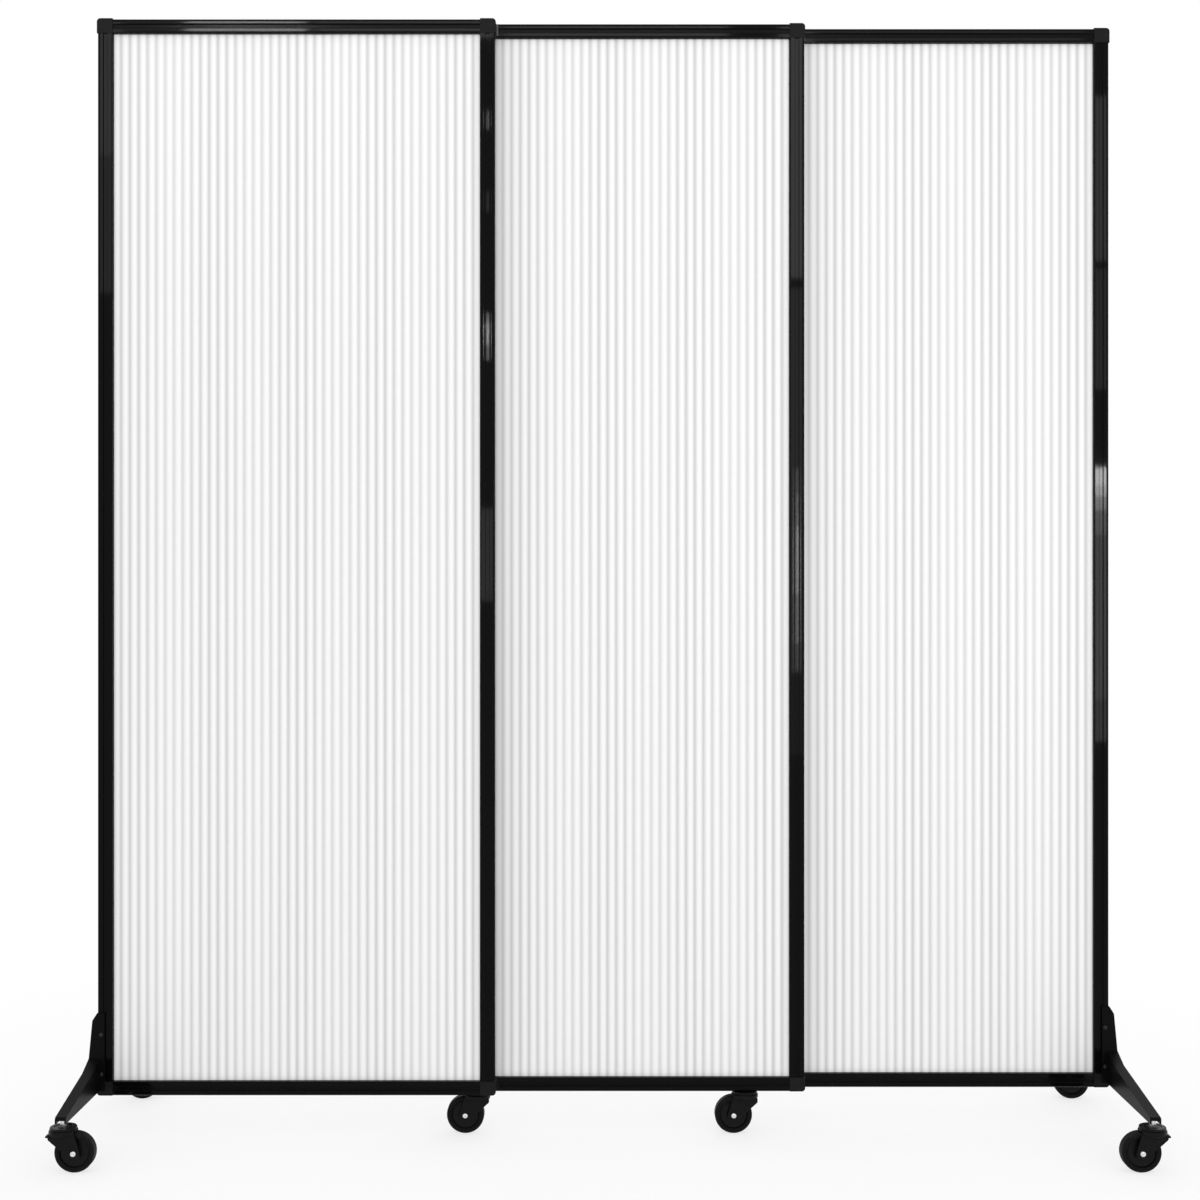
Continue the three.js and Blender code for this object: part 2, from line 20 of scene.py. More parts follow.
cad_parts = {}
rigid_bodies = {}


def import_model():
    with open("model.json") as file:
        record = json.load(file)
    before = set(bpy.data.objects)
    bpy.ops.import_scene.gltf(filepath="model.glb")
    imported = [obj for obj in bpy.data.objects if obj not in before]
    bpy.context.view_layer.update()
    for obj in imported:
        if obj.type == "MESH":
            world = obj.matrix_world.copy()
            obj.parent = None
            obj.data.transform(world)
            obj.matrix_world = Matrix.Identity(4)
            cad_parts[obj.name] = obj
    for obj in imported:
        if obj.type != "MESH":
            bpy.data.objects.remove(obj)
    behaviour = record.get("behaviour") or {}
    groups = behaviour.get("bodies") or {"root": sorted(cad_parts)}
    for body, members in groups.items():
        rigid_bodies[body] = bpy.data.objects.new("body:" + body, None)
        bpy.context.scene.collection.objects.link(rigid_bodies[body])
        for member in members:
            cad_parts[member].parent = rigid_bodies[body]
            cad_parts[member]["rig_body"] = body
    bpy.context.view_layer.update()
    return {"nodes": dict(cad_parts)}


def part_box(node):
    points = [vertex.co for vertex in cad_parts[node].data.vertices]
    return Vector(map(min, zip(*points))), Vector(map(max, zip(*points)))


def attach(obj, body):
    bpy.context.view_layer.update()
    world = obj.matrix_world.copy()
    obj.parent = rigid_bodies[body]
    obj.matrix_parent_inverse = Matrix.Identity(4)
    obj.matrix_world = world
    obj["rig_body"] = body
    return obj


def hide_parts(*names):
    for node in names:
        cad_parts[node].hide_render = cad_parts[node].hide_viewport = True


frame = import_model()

LOG = logging.getLogger("privacy_screen")

MM = 0.001
# How near a place is picked, and how near vertices are merged.
SNAP = 0.01 * MM
WELD = 0.001 * MM
# The least cosine at which a direction counts as along an axis.
ALIGNED = 0.9
ORIGIN = (0.0, 0.0, 0.0)
X_AXIS, Y_AXIS, Z_AXIS = (1.0, 0.0, 0.0), (0.0, 1.0, 0.0), (0.0, 0.0, 1.0)
ONES = (1.0, 1.0, 1.0)
# The two sides of a middle plane.
BOTH = (-1.0, 1.0)

Pair = tuple[float, float]
Triple = tuple[float, float, float]
Point = Vector | Triple
Profile = list[Pair]
Piece = bpy.types.Object
Test = Callable[[Vector, Vector], bool]


class Slot(Enum):
    """The record's material slots."""

    FRAME = "frame_black"
    CORNER = "corner_plastic"
    SHEET = "sheet_opal"
    LEG = "leg_black"
    FORK = "fork_black"
    WHEEL = "wheel_black"
    ZINC = "zinc_steel"
    PEDAL = "pedal_black"


class Grain(Enum):
    """The direction that drawn marks run in, as a stretch of the pattern's coordinates."""

    UPRIGHT = (1.0, 1.0, 0.004)
    LEVEL = (0.004, 1.0, 1.0)
    NONE = ONES


class Element(Enum):
    """What an edit acts on."""

    VERTEX = "VERT"
    EDGE = "EDGE"
    FACE = "FACE"


class Signal:
    """A shader socket that takes part in Python expressions, each of which adds its Math node."""

    def __init__(self, palette: "Palette", socket: bpy.types.NodeSocket) -> None:
        """Keep the socket and the palette whose tree it is in."""
        self.palette = palette
        self.socket = socket

    def maths(self, operation: str, first: "Signal | float", second: "Signal | float" = 0.0) -> "Signal":
        """The result of a Math node's operation on one or two operands."""
        return self.palette.node("ShaderNodeMath", {"operation": operation}, {0: first, 1: second})

    def __add__(self, other: "Signal | float") -> "Signal":
        """This plus the other."""
        return self.maths("ADD", self, other)

    __radd__ = __add__

    def __sub__(self, other: "Signal | float") -> "Signal":
        """This minus the other."""
        return self.maths("SUBTRACT", self, other)

    def __rsub__(self, other: float) -> "Signal":
        """The other minus this."""
        return self.maths("SUBTRACT", other, self)

    def __mul__(self, other: "Signal | float") -> "Signal":
        """This times the other."""
        return self.maths("MULTIPLY", self, other)

    __rmul__ = __mul__

    def __pow__(self, power: float) -> "Signal":
        """This raised to a power."""
        return self.maths("POWER", self, power)

    def cosine(self) -> "Signal":
        """The cosine of this."""
        return self.maths("COSINE", self)

    def at_least(self, other: "Signal | float") -> "Signal":
        """This, or the other where this is lower."""
        return self.maths("MAXIMUM", self, other)


Value = Signal | float | tuple


class Palette:
    """The node tree of a material or of the world."""

    mix_factor, mix_first, mix_second, mix_result = 0, 6, 7, 2
    noise_roughness = 0.55

    def __init__(self, owner: bpy.types.Material | bpy.types.World) -> None:
        """Empty the tree of a material or world.

        Args:
            owner: The material or world.
        """
        self.owner = owner
        owner.use_nodes = True
        self.tree = owner.node_tree
        self.tree.nodes.clear()

    @classmethod
    def named(cls, name: str) -> "Palette":
        """Start an empty material under a name."""
        return cls(bpy.data.materials.new(name))

    def node(
        self,
        kind: str,
        settings: dict[str, object] | None = None,
        sockets: dict[str | int, Value] | None = None,
        output: str | int = 0,
    ) -> Signal:
        """Add a node.

        Args:
            kind: The node's type.
            settings: Its properties, which are set first.
            sockets: The value or link of each input, by name or number.
            output: The output that is wanted, by name or number.

        Returns:
            That output.
        """
        made = self.tree.nodes.new(kind)
        for name, value in (settings or {}).items():
            setattr(made, name, value)
        for key, value in (sockets or {}).items():
            if isinstance(value, Signal):
                self.tree.links.new(value.socket, made.inputs[key])
            else:
                made.inputs[key].default_value = value
        return Signal(self, made.outputs[output] if made.outputs else None)

    def place(self, stretch: Triple = ONES) -> Signal:
        """The object coordinates, times a factor for each axis."""
        here = self.node("ShaderNodeTexCoord", output="Object")
        return self.node("ShaderNodeVectorMath", {"operation": "MULTIPLY"}, {0: here, 1: stretch})

    def noise(self, at: Signal, per_metre: float, detail: float) -> Signal:
        """Noise between 0 and 1, with so many cells to a metre and so many finer layers."""
        sockets = {"Vector": at, "Scale": per_metre, "Detail": detail, "Roughness": self.noise_roughness}
        return self.node("ShaderNodeTexNoise", {}, sockets, "Fac")

    def blend(self, factor: Value, first: Value, second: Value) -> Signal:
        """The first colour, mixed with a share of the second."""
        sockets = {self.mix_factor: factor, self.mix_first: first, self.mix_second: second}
        return self.node("ShaderNodeMix", {"data_type": "RGBA", "clamp_factor": True}, sockets, self.mix_result)

    def mottle(self, pattern: Signal, level: float, spread: float, tint: Triple) -> Signal:
        """A colour whose level varies by a share either way, as the pattern says."""
        return self.blend(pattern, grey(level * (1.0 - spread), tint), grey(level * (1.0 + spread), tint))

    def relief(self, height: Signal, depth: float, under: Signal | None = None) -> Signal:
        """Bump the surface.

        Args:
            height: The relief, between 0 and 1.
            depth: Its depth in metres.
            under: A coarser relief that this one lies on.

        Returns:
            The normal.
        """
        sockets = {"Height": height, "Distance": depth, "Strength": 1.0}
        if under is not None:
            sockets["Normal"] = under
        return self.node("ShaderNodeBump", {}, sockets, "Normal")

    def surface(self, **sockets: Value) -> bpy.types.Material:
        """Close the tree with a Principled shader, whose inputs have _ for each space."""
        named = {name.replace("_", " "): value for name, value in sockets.items()}
        return self.close(self.node("ShaderNodeBsdfPrincipled", {}, named))

    def seen(self) -> Signal:
        """Tell what is looked at from what only sends light on.

        Returns:
            1 to the camera, directly, by reflection or through glass, and 0 to light that is scattered.
        """
        rays = ("Is Camera Ray", "Is Glossy Ray", "Is Transmission Ray")
        camera, glossy, through = (self.node("ShaderNodeLightPath", output=ray) for ray in rays)
        return camera.at_least(glossy.at_least(through))

    def close(self, shader: Signal) -> bpy.types.Material | bpy.types.World:
        """Send a shader to the output.

        Args:
            shader: The shader.

        Returns:
            The material or world.
        """
        is_world = isinstance(self.owner, bpy.types.World)
        kind = "ShaderNodeOutputWorld" if is_world else "ShaderNodeOutputMaterial"
        self.node(kind, {}, {"Surface": shader})
        return self.owner


def grey(level: float, tint: Triple = ONES) -> tuple[float, ...]:
    """A colour of a linear level, times a factor for red, green and blue."""
    return (*(level * part for part in tint), 1.0)


@dataclass(frozen=True)
class CoatedMetal:
    """Powder coat or paint on drawn, cast or pressed metal. A noise is its cells per metre and its detail."""

    name: str
    slot: Slot
    level: float
    tint: Triple = (1.0, 0.98, 0.97)
    roughness: float = 0.045
    reflectance: float = 0.07
    grain: Grain = Grain.NONE
    grain_depth: float = 0.002 * MM
    grain_noise: Pair = (900.0, 3.0)
    grain_roughness: float = 0.02
    peel_per_metre: float = 520.0
    peel_depth: float = 0.004 * MM
    smudge_noise: Pair = (9.0, 4.0)
    smudge_spread: float = 0.14
    dust_noise: Pair = (2600.0, 1.0)
    dust_power: float = 6.0
    dust_share: float = 0.6
    dust_level: float = 0.05

    @cache
    def material(self) -> bpy.types.Material:
        """Mix the coat: drawn marks under it, orange peel in it, and handling smudges on it.

        Returns:
            The material.
        """
        palette = Palette.named(self.name)
        here = palette.place()
        marks = palette.noise(palette.place(self.grain.value), *self.grain_noise)
        peel = palette.noise(here, self.peel_per_metre, 1.0)
        smudges = palette.noise(here, *self.smudge_noise)
        dust = palette.noise(here, *self.dust_noise) ** self.dust_power
        shade = (1.0 - self.smudge_spread) + 2.0 * self.smudge_spread * smudges
        colour = palette.mottle(smudges, self.level, self.smudge_spread, self.tint)
        return palette.surface(
            Base_Color=palette.blend(dust * self.dust_share, colour, grey(self.dust_level)),
            Metallic=0.0,
            Roughness=self.roughness * shade + self.grain_roughness * marks,
            Specular_IOR_Level=self.reflectance,
            Normal=palette.relief(peel, self.peel_depth, palette.relief(marks, self.grain_depth)),
        )


@dataclass(frozen=True)
class MouldedPlastic:
    """Moulded nylon, rubber or polyurethane with a fine spark grain."""

    name: str
    slot: Slot
    level: float
    tint: Triple = ONES
    roughness: float = 0.42
    reflectance: float = 0.15
    scuffing: float = 0.25
    grain_noise: Pair = (1500.0, 2.0)
    grain_depth: float = 0.03 * MM
    cloud_noise: Pair = (24.0, 3.0)
    cloud_spread: float = 0.2
    cloud_roughness: float = 0.16
    scuff_noise: Pair = (160.0, 5.0)
    scuff_stretch: Triple = (1.0, 1.0, 0.25)
    scuff_start: float = 0.6
    scuff_gain: float = 6.0
    scuff_lift: float = 0.015
    scuff_roughness: float = 0.3

    @cache
    def material(self) -> bpy.types.Material:
        """Mix the plastic: grain, a soft variation in shade, and pale scuffs.

        Returns:
            The material.
        """
        palette = Palette.named(self.name)
        here = palette.place()
        grain = palette.noise(here, *self.grain_noise)
        clouds = palette.noise(here, *self.cloud_noise)
        scuffs = palette.noise(palette.place(self.scuff_stretch), *self.scuff_noise)
        scuffs = ((scuffs - self.scuff_start) * self.scuff_gain).at_least(0.0) * self.scuffing
        colour = palette.mottle(clouds, self.level, self.cloud_spread, self.tint)
        return palette.surface(
            Base_Color=palette.blend(scuffs, colour, grey(self.level * 3.0 + self.scuff_lift, self.tint)),
            Roughness=self.roughness + self.cloud_roughness * (clouds - 0.5) + self.scuff_roughness * scuffs,
            Specular_IOR_Level=self.reflectance,
            Normal=palette.relief(grain, self.grain_depth),
        )


@dataclass(frozen=True)
class PlatedSteel:
    """Zinc plated steel, turned or pressed."""

    name: str
    slot: Slot
    level: float = 0.74
    dark_share: float = 0.86
    light_share: float = 1.1
    dark_tint: Triple = (0.98, 1.0, 1.03)
    roughness: float = 0.24
    spangle_noise: Pair = (420.0, 3.0)
    spangle_roughness: float = 0.18
    mark_noise: Pair = (700.0, 2.0)
    mark_stretch: Triple = (1.0, 1.0, 14.0)
    mark_roughness: float = 0.06
    mark_depth: float = 0.006 * MM

    @cache
    def material(self) -> bpy.types.Material:
        """Mix the plate: a faint blue cast, cloudy spangle and fine turning marks.

        Returns:
            The material.
        """
        palette = Palette.named(self.name)
        spangle = palette.noise(palette.place(), *self.spangle_noise)
        marks = palette.noise(palette.place(self.mark_stretch), *self.mark_noise)
        dark, light = grey(self.level * self.dark_share, self.dark_tint), grey(self.level * self.light_share)
        return palette.surface(
            Base_Color=palette.blend(spangle, dark, light),
            Metallic=1.0,
            Roughness=self.roughness + self.spangle_roughness * (spangle - 0.5) + self.mark_roughness * marks,
            Normal=palette.relief(marks, self.mark_depth),
        )


@dataclass(frozen=True)
class OpalFlutes:
    """Opal twin-wall sheet, with a shadow line in front of each rib and a fainter one beside it."""

    name: str
    slot: Slot
    centre: float
    pitch: float
    light: float = 0.958
    light_tint: Triple = (1.0, 1.0, 1.003)
    shade: float = 0.02
    line: float = 0.33
    line_power: float = 1.9
    beside: float = 0.045
    beside_turn: float = 1.9
    beside_power: float = 5.0
    swell: float = 0.14
    swell_pitch: float = 166.0 * MM
    cloud_noise: Pair = (5.0, 3.0)
    cloud_stretch: Triple = (1.0, 1.0, 0.3)
    streak_noise: Pair = (260.0, 2.0)
    streak_depth: float = 0.012 * MM
    haze: float = 0.012
    roughness: float = 0.3
    cloud_roughness: float = 0.1
    reflectance: float = 0.35

    @cache
    def material(self) -> bpy.types.Material:
        """Mix the sheet's plastic, whose lines wax and wane across the panel.

        Returns:
            The material.
        """
        palette = Palette.named(self.name)
        across = palette.node("ShaderNodeSeparateXYZ", {}, {0: palette.place()}, "X") - self.centre
        turns = across * (math.tau / self.pitch)
        rib = (0.5 + 0.5 * turns.cosine()) ** self.line_power
        beside = (0.5 + 0.5 * (turns - self.beside_turn).cosine()) ** self.beside_power
        swell = (1.0 - self.swell) + self.swell * (across * (math.tau / self.swell_pitch)).cosine()
        clouds = palette.noise(palette.place(self.cloud_stretch), *self.cloud_noise)
        streaks = palette.noise(palette.place(Grain.UPRIGHT.value), *self.streak_noise)
        shadow = self.line * swell * rib + self.beside * beside + self.haze * streaks + self.haze * clouds
        return palette.surface(
            Base_Color=palette.blend(shadow, grey(self.light, self.light_tint), grey(self.shade)),
            Roughness=self.roughness + self.cloud_roughness * clouds,
            Specular_IOR_Level=self.reflectance,
            Normal=palette.relief(streaks, self.streak_depth),
        )


@dataclass(frozen=True)
class StudioFloor:
    """A matt floor that is part white to the camera and in reflections, and all white in the distance."""

    name: str = "studio_floor"
    level: float = 0.96
    least_white: float = 0.7
    clear_radius: float = 1.15
    fade: float = 1.2

    @cache
    def material(self) -> bpy.types.Material:
        """Mix the floor's finish, which keeps the shadow near the screen.

        Returns:
            The material.
        """
        palette = Palette.named(self.name)
        here = palette.place((1.0, 1.0, 0.0))
        distance = palette.node("ShaderNodeVectorMath", {"operation": "LENGTH"}, {0: here}, "Value")
        settings = {"interpolation_type": "SMOOTHSTEP", "clamp": True}
        limits = {"Value": distance, "From Min": self.clear_radius, "From Max": self.clear_radius + self.fade}
        far = palette.node("ShaderNodeMapRange", settings, limits)
        matt = palette.node("ShaderNodeBsdfDiffuse", {}, {"Color": grey(self.level)})
        white = palette.node("ShaderNodeEmission", {}, {"Color": grey(1.0), "Strength": 1.0})
        share = self.least_white + (1.0 - self.least_white) * far
        return palette.close(palette.node("ShaderNodeMixShader", {}, {0: share * palette.seen(), 1: matt, 2: white}))


Finish = CoatedMetal | MouldedPlastic | PlatedSteel | OpalFlutes

STILE_BLACK = CoatedMetal(
    "gloss_black_upright",
    Slot.FRAME,
    0.0012,
    roughness=0.025,
    grain=Grain.UPRIGHT,
    grain_depth=0.001 * MM,
    peel_depth=0.002 * MM,
)
RAIL_BLACK = CoatedMetal("gloss_black_level", Slot.FRAME, 0.0014, grain=Grain.LEVEL)
GROOVE_BLACK = CoatedMetal("dull_black_groove", Slot.FRAME, 0.0012, roughness=0.15)
LEG_BLACK = CoatedMetal(
    "satin_black_casting", Slot.LEG, 0.0028, (1.1, 0.97, 0.95), 0.36, 0.05, peel_per_metre=700.0, peel_depth=0.06 * MM
)
FORK_BLACK = CoatedMetal(
    "painted_black_pressing", Slot.FORK, 0.0035, roughness=0.3, reflectance=0.1, peel_depth=0.02 * MM
)
SCREW_BLACK = CoatedMetal("black_oxide_screw", Slot.LEG, 0.012, roughness=0.3, reflectance=0.3)
CORNER_PLASTIC = MouldedPlastic("charcoal_corner", Slot.CORNER, 0.0055, roughness=0.4, reflectance=0.13)
# The top glides are pale grey as a painted highlight where the top corners catch the light, and the bottom glides are
# black.
GLIDE_NYLON_PAINTED_HIGHLIGHT = MouldedPlastic("grey_glide_painted_highlight", Slot.CORNER, 0.13, (1.0, 0.99, 0.96), 0.5, scuffing=0.1)
GLIDE_BLACK = MouldedPlastic("black_nylon_glide", Slot.CORNER, 0.008, roughness=0.5)
GASKET_RUBBER = MouldedPlastic("black_rubber_gasket", Slot.CORNER, 0.006, roughness=0.6, reflectance=0.09)
PEDAL_PLASTIC = MouldedPlastic("black_pedal", Slot.PEDAL, 0.006, roughness=0.48)
TYRE_RUBBER = MouldedPlastic("black_tyre", Slot.WHEEL, 0.005, roughness=0.55, reflectance=0.09, scuffing=0.35)
WHEEL_PLASTIC = MouldedPlastic("black_wheel_centre", Slot.WHEEL, 0.004, roughness=0.34, reflectance=0.12)
ZINC = PlatedSteel("bright_zinc", Slot.ZINC)


class Bench:
    """The modelling moves that every piece is made with."""

    @staticmethod
    def clear() -> None:
        """Deselect every piece."""
        bpy.ops.object.select_all(action="DESELECT")

    @classmethod
    def take(cls, piece: Piece) -> None:
        """Select one piece alone and make it the active one.

        Args:
            piece: The piece.
        """
        cls.clear()
        piece.select_set(True)
        bpy.context.view_layer.objects.active = piece

    @staticmethod
    def discard(*pieces: Piece) -> None:
        """Remove pieces that were only tools or patterns."""
        for piece in pieces:
            bpy.data.objects.remove(piece)

    @staticmethod
    def settle(name: str) -> Piece:
        """Name the active piece and bake its place into its mesh.

        Args:
            name: The piece's name.

        Returns:
            The piece.
        """
        piece = bpy.context.active_object
        piece.name = name
        piece.data.name = name
        bpy.ops.object.transform_apply(location=True, rotation=True, scale=True)
        return piece

    @classmethod
    def block(cls, name: str, low: Point, high: Point) -> Piece:
        """Add a block.

        Args:
            name: The piece's name.
            low: Its lowest corner.
            high: Its highest corner.

        Returns:
            The block.
        """
        cls.clear()
        low, high = Vector(low), Vector(high)
        bpy.ops.mesh.primitive_cube_add(size=1.0, location=(low + high) / 2)
        bpy.ops.transform.resize(value=high - low, center_override=(low + high) / 2)
        return cls.settle(name)

    @classmethod
    def bar(cls, name: str, radius: float, start: Point, end: Point, sides: int) -> Piece:
        """Add a round bar along a main axis.

        Args:
            name: The piece's name.
            radius: Its radius.
            start: The middle of one end.
            end: The middle of the other end.
            sides: How many sides stand for its round.

        Returns:
            The bar.
        """
        cls.clear()
        start, end = Vector(start), Vector(end)
        run = end - start
        bpy.ops.mesh.primitive_cylinder_add(
            vertices=sides,
            radius=radius,
            depth=run.length,
            location=(start + end) / 2,
            rotation=run.to_track_quat("Z", "Y").to_euler(),
        )
        return cls.settle(name)

    @classmethod
    @contextmanager
    def editing(cls, piece: Piece) -> Iterator[None]:
        """Hold a piece in edit mode.

        Args:
            piece: The piece.

        Yields:
            Nothing, while the piece is held.
        """
        cls.take(piece)
        bpy.ops.object.mode_set(mode="EDIT")
        try:
            yield
        finally:
            bpy.ops.object.mode_set(mode="OBJECT")

    @staticmethod
    def pick_all(element: Element = Element.FACE) -> None:
        """Select everything, in edit mode."""
        bpy.ops.mesh.select_mode(type=element.value)
        bpy.ops.mesh.select_all(action="SELECT")

    @staticmethod
    def pick(piece: Piece, element: Element, test: Test) -> None:
        """Select by place and direction, in edit mode.

        Args:
            piece: The piece.
            element: What to select.
            test: Takes a middle and a direction, which is an edge's own or else a normal.
        """
        bpy.ops.mesh.select_mode(type=element.value)
        bpy.ops.mesh.select_all(action="DESELECT")
        shape = bmesh.from_edit_mesh(piece.data)
        if element is Element.VERTEX:
            found = [(item, item.co, item.normal) for item in shape.verts]
        elif element is Element.EDGE:
            ends = [(item, item.verts[0].co, item.verts[1].co) for item in shape.edges]
            found = [(item, (a + b) / 2, (b - a).normalized()) for item, a, b in ends]
        else:
            found = [(item, item.calc_center_median(), item.normal) for item in shape.faces]
        for item in [item for item, middle, direction in found if test(middle, direction)]:
            item.select_set(True)
        shape.select_flush_mode()
        bmesh.update_edit_mesh(piece.data)

    @classmethod
    def round_edges(cls, piece: Piece, test: Test, radius: float, segments: int) -> None:
        """Round some edges, in edit mode.

        Args:
            piece: The piece.
            test: Takes an edge's middle and direction.
            radius: The width of the rounding.
            segments: How many faces make it.
        """
        cls.pick(piece, Element.EDGE, test)
        bpy.ops.mesh.bevel(offset=radius, segments=segments, affect="EDGES")

    @classmethod
    def slice(cls, place: Point, normal: Point, clear_outer: bool = False) -> None:
        """Cut everything with a plane, in edit mode.

        Args:
            place: A point on the plane.
            normal: The plane's normal.
            clear_outer: Whether what lies on the normal's side is removed and the cut is closed.
        """
        cls.pick_all()
        bpy.ops.mesh.bisect(plane_co=place, plane_no=normal, use_fill=clear_outer, clear_outer=clear_outer)

    @staticmethod
    def pull(by: Point) -> None:
        """Extrude the selection by a distance, in edit mode."""
        bpy.ops.mesh.extrude_region_move(TRANSFORM_OT_translate={"value": Vector(by)})

    @classmethod
    def outwards(cls) -> None:
        """Merge doubled vertices and turn all faces outwards, in edit mode."""
        cls.pick_all(Element.VERTEX)
        bpy.ops.mesh.remove_doubles(threshold=WELD)
        bpy.ops.mesh.normals_make_consistent(inside=False)

    @classmethod
    def traced(cls, name: str, points: list[Vector]) -> Piece:
        """Trace an open line.

        Args:
            name: The piece's name.
            points: The points that it runs through, in order.

        Returns:
            The line, which is a mesh with no faces.
        """
        cls.clear()
        bpy.ops.mesh.primitive_plane_add(size=MM, location=points[0])
        piece = cls.settle(name)
        with cls.editing(piece):
            cls.pick_all(Element.VERTEX)
            bpy.ops.mesh.merge(type="CENTER")
            for before, after in zip(points, points[1:]):
                cls.pull(after - before)
        return piece

    @classmethod
    def turned(cls, name: str, profile: Profile, steps: int, centre: Point = ORIGIN, axis: Point = Y_AXIS) -> Piece:
        """Spin a profile about an axis.

        Args:
            name: The piece's name.
            profile: The radius and the height along the axis of each point, in order.
            steps: How many steps make a full turn.
            centre: The point on the axis where the height is 0.
            axis: The axis, along +Y or +Z.

        Returns:
            The closed solid.
        """
        centre, axis, across = Vector(centre), Vector(axis), Vector(X_AXIS)
        piece = cls.traced(name, [centre + across * radius + axis * height for radius, height in profile])
        with cls.editing(piece):
            cls.pick_all(Element.VERTEX)
            bpy.ops.mesh.spin(steps=steps, angle=math.tau, center=centre, axis=axis)
            cls.outwards()
        return piece

    @classmethod
    def modify(cls, piece: Piece, kind: str, **settings: object) -> None:
        """Finish a piece with a modifier, and apply it.

        Args:
            piece: The piece.
            kind: The modifier's type.
            settings: The modifier's settings.
        """
        cls.take(piece)
        bpy.ops.object.modifier_add(type=kind)
        modifier = piece.modifiers[-1]
        for name, value in settings.items():
            setattr(modifier, name, value)
        bpy.ops.object.modifier_apply(modifier=modifier.name)

    @classmethod
    def combine(cls, piece: Piece, tool: Piece, operation: str = "DIFFERENCE") -> None:
        """Cut a piece with a tool, or join the two, and use the tool up.

        Args:
            piece: The piece that is kept.
            tool: The tool, which goes.
            operation: DIFFERENCE or UNION.
        """
        cls.modify(piece, "BOOLEAN", operation=operation, solver="EXACT", object=tool)
        cls.discard(tool)

    @classmethod
    def soften(cls, piece: Piece, width: float, segments: int = 2, sharper_than: float = 32.0) -> Piece:
        """Round the sharp edges and shade what is left smoothly.

        Args:
            piece: The piece.
            width: The width of the rounding.
            segments: How many faces make it.
            sharper_than: The least angle of an edge that is rounded, in degrees.

        Returns:
            The piece.
        """
        least = math.radians(sharper_than)
        cls.modify(piece, "BEVEL", limit_method="ANGLE", angle_limit=least, width=width, segments=segments)
        return cls.smooth(piece)

    @classmethod
    def smooth(cls, piece: Piece, angle: float = 38.0) -> Piece:
        """Shade a piece smoothly.

        Args:
            piece: The piece.
            angle: The sharpest edge that is smoothed, in degrees.

        Returns:
            The piece.
        """
        cls.take(piece)
        bpy.ops.object.shade_smooth_by_angle(angle=math.radians(angle))
        return piece

    @classmethod
    def put(cls, piece: Piece, name: str, placing: Matrix) -> Piece:
        """Put a piece in its place, which may mirror it.

        Args:
            piece: The piece.
            name: Its new name.
            placing: Its place.

        Returns:
            The piece.
        """
        cls.take(piece)
        piece.matrix_world = placing
        cls.settle(name)
        if placing.is_negative:
            with cls.editing(piece):
                cls.outwards()
        return piece

    @classmethod
    def copy(cls, piece: Piece, name: str, placing: Matrix) -> Piece:
        """Put a copy of a piece, with a mesh of its own, in a place.

        Args:
            piece: The piece.
            name: The name of its copy.
            placing: The place of the copy, which may mirror it.

        Returns:
            The copy.
        """
        cls.take(piece)
        bpy.ops.object.duplicate(linked=False)
        return cls.put(bpy.context.active_object, name, placing)

    @classmethod
    def join(cls, pieces: list[Piece], name: str) -> Piece:
        """Make several pieces one.

        Args:
            pieces: The pieces.
            name: The name of the result.

        Returns:
            The result.
        """
        cls.take(pieces[0])
        for piece in pieces:
            piece.select_set(True)
        bpy.ops.object.join()
        return cls.settle(name)


def body_of(node: str) -> str:
    """The body that a node rides on."""
    return frame["nodes"][node]["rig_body"]


def centre_of(node: str) -> Vector:
    """The middle of a node's box."""
    low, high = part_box(node)
    return (low + high) / 2


def fit(piece: Piece, body: str, finish: Finish, inner: Finish | None = None) -> None:
    """Give a piece its finish and its body.

    Args:
        piece: The piece.
        body: The body that it moves with.
        finish: Its finish.
        inner: The finish of the faces that are marked as inner ones, if it has any.
    """
    # The roundings take up the change of shading, so that flat faces mirror as flat ones.
    Bench.modify(piece, "WEIGHTED_NORMAL", keep_sharp=True)
    piece.data.materials.append(finish.material())
    if inner is not None:
        piece.data.materials.append(inner.material())
    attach(piece, body)
    triangles = sum(len(face.vertices) - 2 for face in piece.data.polygons)
    LOG.info("%s: %d triangles, on %s", piece.name, triangles, body)


def stand_in(piece: Piece, node: str, finish: Finish, inner: Finish | None = None) -> None:
    """Fit a piece that stands for a node of the frame, on that node's body."""
    fit(piece, body_of(node), finish, inner)
    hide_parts(node)


